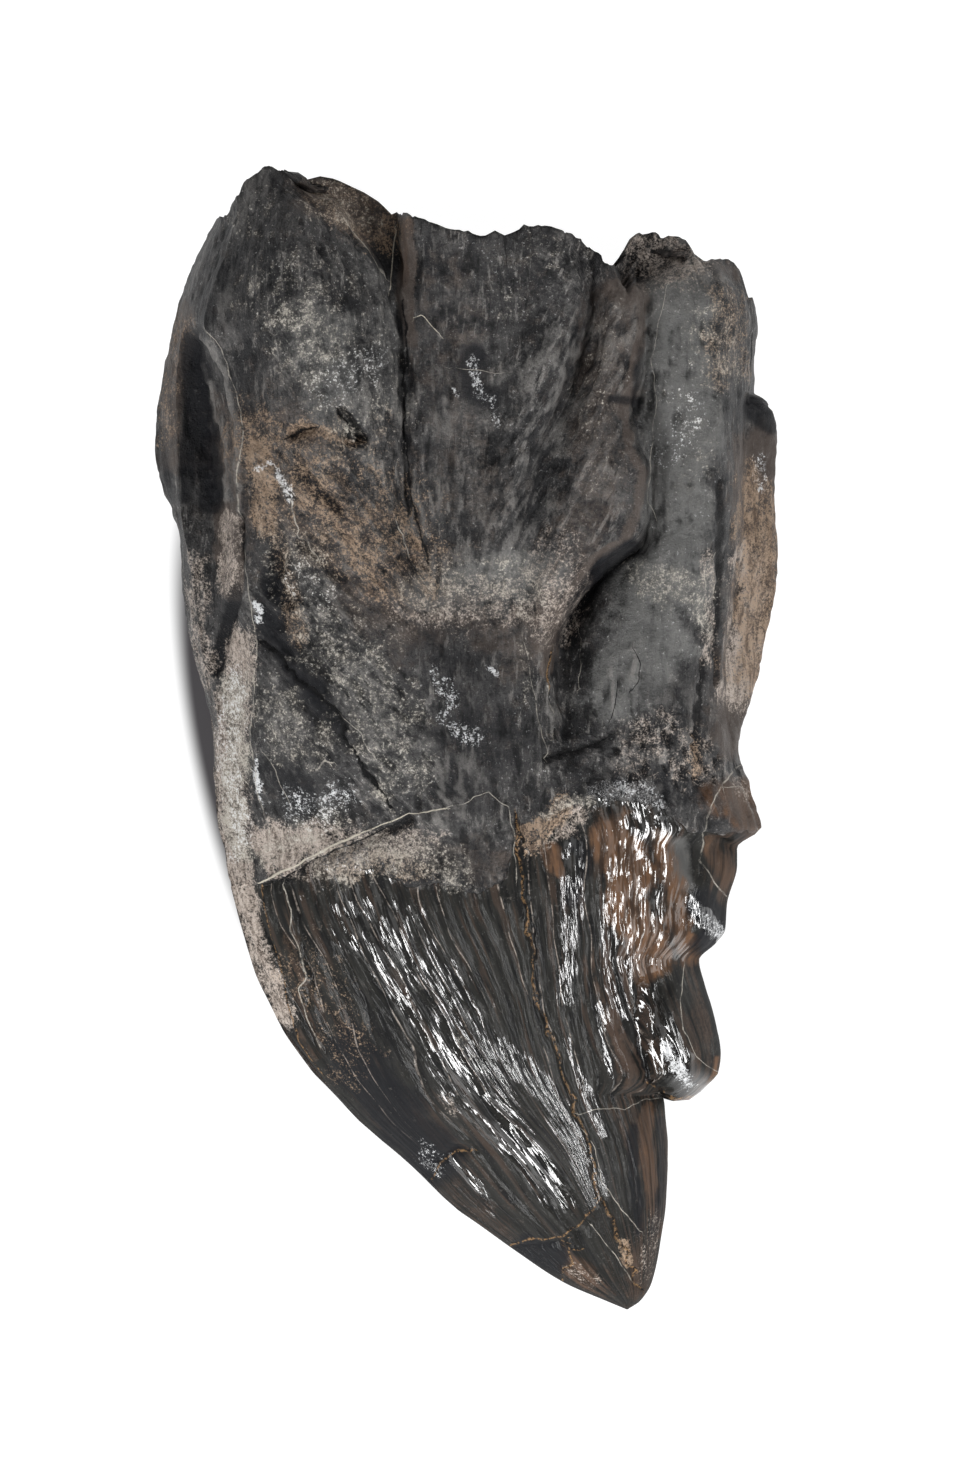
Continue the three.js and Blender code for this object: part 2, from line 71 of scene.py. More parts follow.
CUSP_Y = -39.4
ROOT_END_Y = 33.5  # mean station of the broken end
JAG_REACH = 13.0  # how far down the root the broken profile bends the stations
NECK_TOP_Y = 1.0  # the root's own section ends between these two stations
NECK_BOTTOM_Y = -8.5
PLAN_HEIGHT = 10.0  # height of the plane on which plan positions are stated
CAMERA_HEIGHT = 1000.0
VIEW_CENTRE = (1.54, 0.24)  # plan position under the camera
SKIN_MAP = "skin"  # map that follows the enamel's ridges
SKIN_MAP_MM = 100.0  # millimetres of tooth per unit of that map
CROWN_WIDTH = 33.0
VIEW_LENGTH = 100.7  # long side of the frame, on the plan's plane
RIDGES_ACROSS = 23  # enamel ridges side by side across the crown
WRINKLES_ACROSS = 60  # finer wrinkles that run with them
CRUMPLES_ACROSS = (62, 30)  # cells of the fine and the coarse crumple
FAR = 9.0  # a distance beyond every thin line
BUMP_DEPTH = 0.14  # of the finest relief


# ---- helpers


def ease(value: Array, start: float, end: float) -> Array:
    """Smooth step of value from 0 at start to 1 at end; start may be the larger."""
    t = np.clip((value - start) / (end - start), 0.0, 1.0)
    return t * t * (3.0 - 2.0 * t)


def curve(start: Array, leave: Array, end: Array, arrive: Array, t: Array) -> Array:
    """Cubic curve from start to end with the tangents leave and arrive; t is the share of the way."""
    return (
        start * (1 + 2 * t) * (1 - t) ** 2 + leave * t * (1 - t) ** 2
        + end * t * t * (3 - 2 * t) + arrive * t * t * (t - 1)
    )


class Track:
    """A smooth curve through (y, value) knots that never overshoots them."""

    def __init__(self, knots: Points) -> None:
        """Fits the curve.

        Args:
            knots: (position, value) pairs in any order.
        """
        ordered = np.array(sorted(knots), dtype=float)
        self.at, self.value = ordered[:, 0], ordered[:, 1]
        slope = np.diff(self.value) / np.diff(self.at)
        before, after = slope[:-1], slope[1:]
        same = before * after > 0
        total = np.where(same, before + after, 1.0)
        inner = np.where(same, 2 * before * after / total, 0.0)
        self.tangent = np.concatenate([slope[:1], inner, slope[-1:]])

    def __call__(self, y: Array) -> Array:
        """Reads the curve, which stays level beyond its ends.

        Args:
            y: positions along the curve.

        Returns:
            The curve's value at each.
        """
        y = np.clip(y, self.at[0], self.at[-1])
        i = np.clip(np.searchsorted(self.at, y, side="right") - 1, 0, len(self.at) - 2)
        gap = self.at[i + 1] - self.at[i]
        t = (y - self.at[i]) / gap
        leave, arrive = self.tangent[i] * gap, self.tangent[i + 1] * gap
        return curve(self.value[i], leave, self.value[i + 1], arrive, t)


class Grain:
    """Seeded smooth noise over points in space, about -1 to 1."""

    def __init__(self, seed: int) -> None:
        """Draws the lattice of directions.

        Args:
            seed: start of the random draws; each seed gives another noise.
        """
        rng = np.random.default_rng(seed)
        self.order = rng.permutation(256)
        directions = rng.normal(size=(256, 3))
        self.direction = directions / np.linalg.norm(directions, axis=1)[:, None]

    def _corner(self, cell: Array) -> Array:
        """Direction at each lattice corner."""
        x, y, z = (cell[..., k] & 255 for k in range(3))
        return self.direction[self.order[(self.order[(self.order[x] + y) & 255] + z) & 255]]

    def __call__(self, x: Array, y: Array, z: Array | float = 0.0) -> Array:
        """Noise at points in space, one lattice cell per unit.

        Args:
            x, y, z: coordinates of the points.

        Returns:
            The noise at each point.
        """
        points = np.stack(np.broadcast_arrays(x, y, z), axis=-1).astype(float)
        cell = np.floor(points).astype(int)
        offset = points - cell
        fade = offset**3 * (offset * (offset * 6 - 15) + 10)
        total = np.zeros(points.shape[:-1])
        for corner in np.ndindex(2, 2, 2):
            step = np.array(corner)
            weight = np.prod(np.where(step, fade, 1 - fade), axis=-1)
            total += weight * np.sum(self._corner(cell + step) * (offset - step), axis=-1)
        return total * 1.6

    def rough(self, x: Array, y: Array, z: Array | float, octaves: int) -> Array:
        """Noise summed over octaves, each half as large and twice as fine.

        Args:
            x, y, z: coordinates of the points.
            octaves: how many noises are summed.

        Returns:
            The sum at each point.
        """
        total, size = 0.0, 1.0
        for octave in range(octaves):
            k = 2.0**octave
            total = total + size * self(x * k + 17 * octave, y * k, z * k)
            size *= 0.5
        return total


def distance_to_stretch(start: tuple[float, float], end: tuple[float, float], at: Plan) -> Array:
    """Distance to one straight stretch of a path.

    Args:
        start, end: the stretch's ends.
        at: the points on the plan.

    Returns:
        The distance from each point.
    """
    (ax, ay), (bx, by), (x, y) = start, end, at
    along = ((x - ax) * (bx - ax) + (y - ay) * (by - ay)) / ((bx - ax) ** 2 + (by - ay) ** 2)
    t = np.clip(along, 0, 1)
    return np.hypot(x - ax - t * (bx - ax), y - ay - t * (by - ay))


def distance_to_path(path: Points, at: Plan) -> Array:
    """Distance to an open path.

    Args:
        path: its corners.
        at: the points on the plan.

    Returns:
        The distance from each point.
    """
    nearest = np.full(np.shape(at[0]), np.inf)
    for start, end in zip(path, path[1:]):
        nearest = np.minimum(nearest, distance_to_stretch(start, end, at))
    return nearest


def side_of_path(path: Points, at: Plan) -> tuple[Array, Array]:
    """Distance to an open path, with a sign for the point's side of it.

    Args:
        path: its corners.
        at: the points on the plan.

    Returns:
        The distance with its sign, and without.
    """
    x, y = at
    nearest, side = np.full(np.shape(x), np.inf), np.ones(np.shape(x))
    for start, end in zip(path, path[1:]):
        (ax, ay), (bx, by) = start, end
        away = distance_to_stretch(start, end, at)
        turn = np.sign((bx - ax) * (y - ay) - (by - ay) * (x - ax))
        side = np.where(away < nearest, turn, side)
        nearest = np.minimum(nearest, away)
    return side * nearest, nearest


def nearness(path: Points, at: Plan, full: float, reach: float) -> Array:
    """How close a point is to a path: 1 up to the distance full, 0 from reach on."""
    return 1 - ease(distance_to_path(path, at), full, reach)


def depth_inside(outline: Points, at: Plan) -> Array:
    """Distance inside a closed outline.

    Args:
        outline: its corners.
        at: the points on the plan.

    Returns:
        The distance from each point to the outline, negative outside it.
    """
    x, y = at
    inside = np.zeros(np.shape(x), dtype=bool)
    for (ax, ay), (bx, by) in zip(outline, outline[1:] + outline[:1]):
        if ay == by:
            continue
        crosses = (ay > y) != (by > y)
        inside ^= crosses & (x < ax + (bx - ax) * (y - ay) / (by - ay))
    edge = distance_to_path(outline + outline[:1], at)
    return np.where(inside, edge, -edge)


# ---- the tooth's tables


@dataclass(frozen=True)
class Rail:
    """One track along the tooth: a ridge, furrow, rim or foot."""

    name: str
    steps: int  # grid columns up to the next rail
    crown: float  # share of the crown's width where it runs there
    x: Points
    z: Points
    sharp: bool = False


BROKEN_END: Points = (
    (-16.4, 35.6), (-14.9, 37.9), (-13.2, 38.8), (-11.1, 38.1), (-9.4, 38.2),
    (-7, 37), (-5.2, 35.8), (-3.3, 35.3), (0.6, 34.3), (2.9, 34.3),
    (4.7, 34.9), (7.2, 34.2), (8.6, 33.2), (9.8, 32.1), (10.7, 32.6),
    (11.5, 34.4), (14.9, 33.9), (16, 32.2), (17.3, 32.7), (18.4, 32.3), (19.3, 30.2),
)
LEFT_EDGE: Points = (
    (38.2, -14.9), (35.4, -17.1), (31.1, -19.3), (26.6, -20.5), (20.4, -21.5), (18.5, -21.3),
    (16, -20.5), (13.9, -19.8), (10.9, -19.6), (6.7, -19), (2.6, -17.9), (-0.8, -17.4),
    (-4.2, -17.3), (-7.6, -16.8), (-11.4, -15.9), (-15.9, -14.6), (-18.3, -13.5), (-21, -12),
    (-25.8, -7.9), (-29.2, -4.1), (-32, -1.1), (-34.7, 2.5), (-37.5, 6.6), (-38.9, 9.8), (CUSP_Y, 11),
)
RIGHT_EDGE: Points = (
    (31.1, 19.4), (28.3, 19.7), (25.6, 19.4), (23.3, 19.3), (22.4, 21), (20.4, 21.3),
    (16.3, 21.1), (11.5, 21.3), (6.1, 20.4), (2.6, 19.5), (0.4, 18.7), (-0.8, 18.5),
    (-3.5, 19.4), (-6.1, 20.2), (-7.5, 18.5), (-8.7, 18.5), (-11.4, 17.8), (-13.1, 17.7),
    (-14.1, 17), (-15.2, 15.9), (-16.9, 16.3), (-18.9, 16.9), (-21.7, 17.4), (-22.9, 17.2),
    (-23.3, 16.5), (-23.6, 16), (-23.9, 15.1), (-24.1, 14.4), (-24.25, 13.7), (-24.4, 13.3),
    (-24.8, 13.5), (-25.7, 13.6), (-28.2, 13.8), (-31.6, 13.7), (-34.7, 13.3), (-37.5, 12.7),
    (-38.8, 11.9), (CUSP_Y, 11),
)
BODY_EDGE: Points = (
    (2, 18.6), (-9.7, 16.6), (-16.9, 15.2), (-24.4, 13.3), (-28.2, 13.8), (-31.6, 13.7),
    (-34.7, 13.3), (-37.5, 12.7), (-38.8, 11.9), (CUSP_Y, 11),
)
DENTICLE_FROM = 0.74  # share of the crown's width where the denticles begin
HOOK_DROP: Points = (
    (-21.7, 0), (-22.9, 0.2), (-23.3, 0.5), (-23.6, 0.7), (-23.9, 1), (-24.1, 0.8), (-24.25, 0.45),
    (-24.4, 0),
)
HOOK_FROM = 0.88  # share where the lowest denticle begins to hang

UPPER_RAILS: tuple[Rail, ...] = (
    Rail("left edge", 12, 0, LEFT_EDGE,
         ((38.3, 10.5), (33.5, 9), (30, 8.5), (20.4, 8), (14.3, 9), (2.6, 9.5), (-9.7, 9))),
    Rail("outer flank", 8, 0.02,
         ((35, -16.9), (31.1, -18.6), (28, -19.5), (24, -19.9), (16.3, -19.6), (12.2, -19), (6.7, -18.3),
          (2.6, -17.3), (-8.3, -16.1)),
         ((35, 14.5), (31, 13.2), (24, 12.2), (16.3, 12), (12, 12.6), (2.6, 12.2), (-8.3, 10.8)), True),
    Rail("flank hollow", 14, 0.04,
         ((35, -16.3), (30, -18.3), (28, -18.9), (24, -18.6), (19.8, -18.3), (12.2, -17.9), (6.7, -16.9),
          (2.6, -16), (-8.3, -15.2)),
         ((35, 16.2), (30, 15), (26.6, 12.8), (20, 11.8), (16.3, 12), (12.2, 13.2), (2.6, 13.4),
          (-8.3, 11.8))),
    Rail("left lobe edge", 38, 0.07,
         ((35, -15.6), (30.5, -17.3), (28.3, -17.9), (25.9, -16.6), (22, -15.6), (15, -15.5), (9.5, -15.5),
          (6.7, -14.6), (2.6, -14.5), (-9.7, -14.1)),
         ((35, 18), (29.4, 17.8), (23.2, 18), (15, 17.4), (9.5, 17), (2.6, 16), (-9.7, 12.8)), True),
    Rail("left lobe crest", 20, 0.25,
         ((33.8, -12.5), (30, -12), (23.2, -10.2), (9.5, -9.8), (2.6, -9.1), (-9.7, -8)),
         ((38.5, 18.6), (34, 21.2), (26.6, 22), (20, 21.6), (13, 20.2), (2.6, 18.8), (-9.7, 17))),
    Rail("left lobe broken rim", 6, 0.34,
         ((38.4, -12.4), (37, -11.2), (35.6, -8.8), (34.2, -7.9), (33.6, -7.3), (31.3, -5.9), (29, -6),
          (22, -6.5), (9.5, -5.6), (2.6, -5), (-9.7, -4.6)),
         ((38.5, 18.2), (34, 18.8), (31.3, 18.8), (29, 19.6), (22, 20), (13, 19.6), (2.6, 19),
          (-9.7, 17.8)), True),
    Rail("window foot", 9, 0.385,
         ((38.4, -11.9), (37, -10.7), (35.6, -8.2), (34.2, -7.3), (33.4, -6.7), (31.3, -5.5), (29, -5.5),
          (22, -5.4), (9.5, -4.4), (2.6, -3.7), (-9.7, -3.4)),
         ((38.5, 16.6), (34, 16.2), (32.4, 16.2), (31, 17.8), (29, 18.9), (22, 19.3), (13, 19.2),
          (2.6, 18.9), (-9.7, 17.9)), True),
    Rail("left furrow", 8, 0.43,
         ((33.8, -4.8), (30.7, -4.7), (26.6, -4.4), (16.3, -4.2), (12.9, -3.4), (9.5, -2.4), (2.6, -1.9),
          (-9.7, -1.9)),
         ((38.5, 16.6), (32.6, 16.2), (31, 17.2), (29, 17.9), (23, 18.2), (16.3, 18.2), (9.5, 18.4),
          (2.6, 18.7), (-9.7, 18)), True),
    Rail("middle lobe left ridge", 18, 0.475,
         ((33.8, -3.9), (30, -3.5), (19.8, -3.4), (12.9, -2.3), (9.5, -1.5), (2.6, -0.8), (-9.7, -0.5)),
         ((33.5, 19.3), (20, 19.2), (9.5, 18.9), (2.6, 19), (-9.7, 18.2))),
    Rail("middle channel", 17, 0.55,
         ((33.8, 0.9), (23.2, 1), (16.3, 0.4), (12.2, 0), (8.1, 0.6), (2.6, 1.7), (-9.7, 2.6)),
         ((33.8, 19.2), (28, 18.6), (18, 18.2), (12.2, 18.4), (8.1, 19.1), (2.6, 19.4), (-9.7, 18.4))),
    Rail("middle lobe ridge", 12, 0.62,
         ((33.8, 6.3), (30.2, 7.6), (23.5, 5.8), (19.7, 3.9), (16.3, 3.1), (12.2, 2.9), (2.6, 3.7),
          (-9.7, 4.3)),
         ((33.8, 20), (27, 20), (20, 19.5), (12, 19), (2.6, 19.2), (-9.7, 18.3))),
    Rail("narrow furrow", 10, 0.67,
         ((33.8, 8), (29.5, 8.7), (24.3, 7.4), (19.9, 5.4), (14.3, 4.2), (9.5, 4), (2.6, 4.5), (-9.7, 5.5)),
         ((33.8, 18.9), (28, 18.1), (20, 18), (12, 18.5), (2.6, 18.9), (-9.7, 18.2))),
    Rail("plate crest", 12, 0.715,
         ((33.8, 9), (28.7, 10), (25.6, 9.4), (20.3, 8.2), (17, 7.2), (12.2, 5.9), (8.1, 5), (2.6, 5.1),
          (-9.7, 6.9)),
         ((33.8, 18.9), (28, 20), (20, 20), (12.2, 19.6), (6, 18.9), (2.6, 18.3), (-9.7, 17.8))),
    Rail("plate rim", 6, 0.765,
         ((32.6, 9.9), (30, 11.6), (24.9, 11.5), (22.6, 10.9), (20.1, 11.3), (18.4, 12), (15.3, 12),
          (13.7, 11.5), (12.3, 9.4), (9.7, 7.2), (7.1, 5.9), (4.7, 5.6), (1.3, 5.9), (-4.2, 8),
          (-9.7, 8.5)),
         ((32.6, 17.2), (30, 18.9), (15.3, 18.9), (9.7, 18.5), (5, 18), (0.8, 17.4), (-9.7, 17.4)), True),
    Rail("plate foot", 10, 0.79,
         ((32.6, 10.4), (30, 12.1), (24.9, 12), (22.6, 11.4), (20.1, 11.8), (18.4, 12.5), (15.3, 12.5),
          (13.4, 12.1), (11.8, 10), (9.4, 7.8), (6.9, 6.5), (4.7, 6.2), (1.3, 6.6), (-4.2, 9.4),
          (-9.7, 10)),
         ((32.6, 16.2), (30, 17), (20, 16.8), (15.3, 16), (13.4, 14.4), (9.4, 13.6), (6, 14.6), (3, 16),
          (0, 17.1), (-9.7, 17)), True),
    Rail("right lobe shoulder", 15, 0.84,
         ((33.8, 12.6), (30, 14), (27.3, 13.7), (18.4, 13.8), (15, 13.5), (11.5, 12), (8.1, 10.6),
          (2.6, 9.6), (-4.2, 11.3), (-9.7, 11.8)),
         ((33.8, 15.4), (29, 17.4), (18, 17.2), (13, 16.6), (6, 16.4), (0, 16.9), (-9.7, 16.4))),
    Rail("right lobe crest", 12, 0.91,
         ((32.8, 15.9), (30, 16.6), (16.3, 16.3), (9.5, 15.2), (2.6, 14), (-9.7, 14.6)),
         ((33, 15.2), (29.5, 17.2), (20, 17.4), (9.5, 17), (0, 16.6), (-9.7, 14.6))),
    Rail("right lobe rim", 6, 0.96,
         ((32.1, 18.4), (29.4, 19.1), (24.6, 18.8), (15, 18.4), (9.5, 17.8), (5.4, 17.3), (2, 17.3),
          (-0.8, 17.5), (-4.2, 17.4), (-9.7, 16.7)),
         ((32.1, 12.8), (20, 13.2), (2, 13.3), (-9.7, 12)), True),
    Rail("slab foot", 11, 0.98,
         ((31.7, 18.9), (29.4, 19.4), (23.9, 19.1), (15, 19), (9.5, 18.3), (5.4, 17.8), (2, 17.8),
          (-0.8, 18.1), (-4.2, 18.5), (-9.7, 17.6)),
         ((31.7, 11.5), (23.8, 11.2), (22.6, 8.6), (9.5, 8.2), (2.6, 8.6), (-0.8, 10), (-9.7, 10.4)), True),
)
RIGHT_RAIL = Rail("right edge", 8, 1, RIGHT_EDGE,
                  ((32.6, 10.5), (23.3, 10.3), (22.4, 6.5), (9.5, 5.5), (2.6, 6), (-0.4, 8.5), (-9.7, 9.2)))
LOWER_RAILS: tuple[Rail, ...] = (
    Rail("right underside", 12, 0.9, ((33, 17.6), (20, 18.8), (5, 17.2), (-9.7, 16.2)),
         ((33, 4.6), (20, 2.2), (5, 2.6), (-9.7, 4.4))),
    Rail("right belly", 12, 0.7, ((33, 11), (15, 11.4), (-9.7, 9.5)),
         ((34, 2.2), (27, -0.5), (8, -0.5), (0, 1), (-9.7, 1.6))),
    Rail("under furrow", 12, 0.5, ((33, 1.5), (-9.7, 2.2)),
         ((34, 5.4), (22, 4.2), (6, 2.8), (-9.7, 1.5))),
    Rail("left belly", 12, 0.3, ((33, -9.6), (15, -9), (-9.7, -5.4)),
         ((37, 3), (29, -0.5), (10, -0.5), (0, 1), (-9.7, 1.8))),
    Rail("left underside", 8, 0.1, ((35, -15.4), (20, -17.6), (5, -15.6), (-9.7, -12.6)),
         ((35, 5.6), (20, 3.4), (5, 4.4), (-9.7, 5.2))),
)
EDGE_HEIGHT: Points = ((2, 9.4), (-9.7, 9.1), (-16.9, 8.1), (-22, 7), (-28.2, 5.5), (-35, 4), (CUSP_Y, 3.1))
CREST_SHARE: Points = ((0, 0.58), (-9.7, 0.6), (-18, 0.63), (-25, 0.68), (-32, 0.72), (CUSP_Y, 0.75))
UPPER_RISE: Points = (
    (2, 9.6), (-9.7, 9.4), (-17.9, 8.6), (-24.8, 7.2), (-31.6, 5.2), (-36, 3), (-38.4, 1.3), (CUSP_Y, 0),
)
LOWER_SAG: Points = (
    (2, 8.2), (-9.7, 7.4), (-17.9, 7.2), (-25, 6.9), (-29, 6.3), (-33, 5), (-36.5, 2.4), (-38.4, 1.1),
    (CUSP_Y, 0),
)
CERVIX: Points = (
    (-15, -9.8), (-12.7, -9.9), (-10.2, -8.5), (-8.8, -8.5), (-6.1, -8.9), (-3.8, -9.9),
    (-1.9, -9.7), (0.4, -10.3), (2.6, -9.3), (3.2, -6.6), (4.4, -7.6), (6.3, -5),
    (9, -3.9), (12.5, -4.3), (15.2, -6.3),
)
CEMENT_LIP = 0.3  # thickness of the cement over the enamel


@dataclass(frozen=True)
class Fold:
    """A crease or keel: height at its path, fading to nothing at reach."""

    name: str
    height: float
    reach: float
    path: Points


FOLDS: tuple[Fold, ...] = (
    Fold("notch above the cusp", -1.1, 1.5,
        ((13.1, -24.7), (12.3, -23.8), (12.2, -21.5), (12.4, -19), (12.8, -16.8))),
    Fold("hook keel", 0.5, 1.8, ((14, -16.2), (14.4, -19.5), (15.4, -22.4), (16.8, -23.6))),
    Fold("middle denticle notch", -0.8, 1.3, ((16, -15.2), (15.2, -14.4), (14.6, -12.4))),
    Fold("middle denticle swell", 0.6, 1.6, ((16.2, -10.2), (16.6, -13.4))),
    Fold("upper denticle keel", 0.7, 1.5, ((18, -3.4), (19, -6))),
    Fold("upper denticle notch", -0.7, 1.2, ((18.6, -7.7), (17.2, -7.2), (16.4, -5.6))),
)


@dataclass(frozen=True)
class Broken:
    """An outline inside which the upper face has snapped down to a floor."""

    name: str
    floor: float
    wall: float
    outline: Points


BREAKS: tuple[Broken, ...] = (
    Broken("broken end of the right lobe", 14.4, 1.2,
           ((9.9, 32.9), (10.2, 30.9), (12.4, 30.5), (15.4, 32.2), (16.6, 34.8), (12, 36.4))),
)


class Tone(Enum):
    """What a patch of the surface shows besides its own colour."""

    GREY = "grey"
    BROWN = "brown"
    AMBER = "amber"
    TAN = "tan"
    OCHRE = "ochre"
    CREAM = "cream"
    # black, and painted shade in hollows, grooves and under overhangs
    BLACK = "black"
    # white specks of crystals, and painted glints and highlights on glossy spots
    FROST = "frost"
    GLOSS = "gloss"
    POLISH = "polish"


@dataclass(frozen=True)
class Stain:
    """A ragged patch of one tone along a path.

    strength is its depth at the path, reach its half width and ragged how far
    its edge wanders, all but strength in millimetres.
    """

    name: str
    tone: Tone
    strength: float
    reach: float
    path: Points
    ragged: float = 1.0


class Vein(Enum):
    """What a thin line on the surface is made of."""

    PALE = "pale"
    FAINT = "faint"
    DARK = "dark"
    RUSTY = "rusty"


@dataclass(frozen=True)
class Line:
    """A thin line on the surface, in millimetres: half its width and how far it wanders."""

    name: str
    vein: Vein
    half: float
    path: Points
    wander: float = 0.15


@dataclass(frozen=True)
class Scar:
    """A fine crack, pit or raised thread: depth is below the face, negative is raised."""

    name: str
    depth: float
    reach: float
    path: Points
    wander: float = 0.25


@dataclass(frozen=True)
class Fibre:
    """A stretch of the root whose splintered grain leans one way."""

    name: str
    depth: float
    reach: float
    lean: float  # degrees from the tooth's axis towards +X, going up the root
    path: Points


FIBRES: tuple[Fibre, ...] = (
    Fibre("top of the left lobe", 0.08, 6, 14, ((-14.6, 35.5), (-12.2, 28), (-10.1, 23.2))),
    Fibre("right side of the left lobe", 0.10, 3.5, -12, ((-6.7, 32.8), (-5.7, 23.2), (-4.6, 16.3))),
    Fibre("band of the left lobe", 0.13, 5, -48, ((-12.5, 19.1), (-8.7, 13.6), (-5.3, 10.2))),
    Fibre("lower slope of the left lobe", 0.13, 6, -44, ((-12.2, 8.1), (-8, 2.6), (-4.6, -3.5))),
    Fibre("left side of the middle lobe", 0.13, 3, 4, ((-2.9, 34.1), (-2.9, 23.2), (-1.9, 12.2))),
    Fibre("middle lobe", 0.10, 4.5, 16, ((2.2, 33.5), (0.9, 23.2), (1.5, 13.6))),
    Fibre("right side of the middle lobe", 0.14, 3.5, 30, ((7.7, 33.5), (6.3, 24.6), (3.6, 15))),
    Fibre("plate", 0.14, 4, 26, ((10.6, 28.7), (9.4, 21.8), (7, 12.2))),
    Fibre("right lobe", 0.05, 5, 2, ((15.2, 30), (15.2, 17.7), (13.9, 8.1))),
    Fibre("broken end of the right lobe", 0.16, 2.6, 30, ((11.8, 33.5), (15.2, 32.6))),
    Fibre("neck", 0.10, 6, -8, ((-1.2, 3.3), (0.2, -4.2))),
    Fibre("neck's right", 0.10, 5, 6, ((7.7, 1.3), (14.6, -0.1))),
)


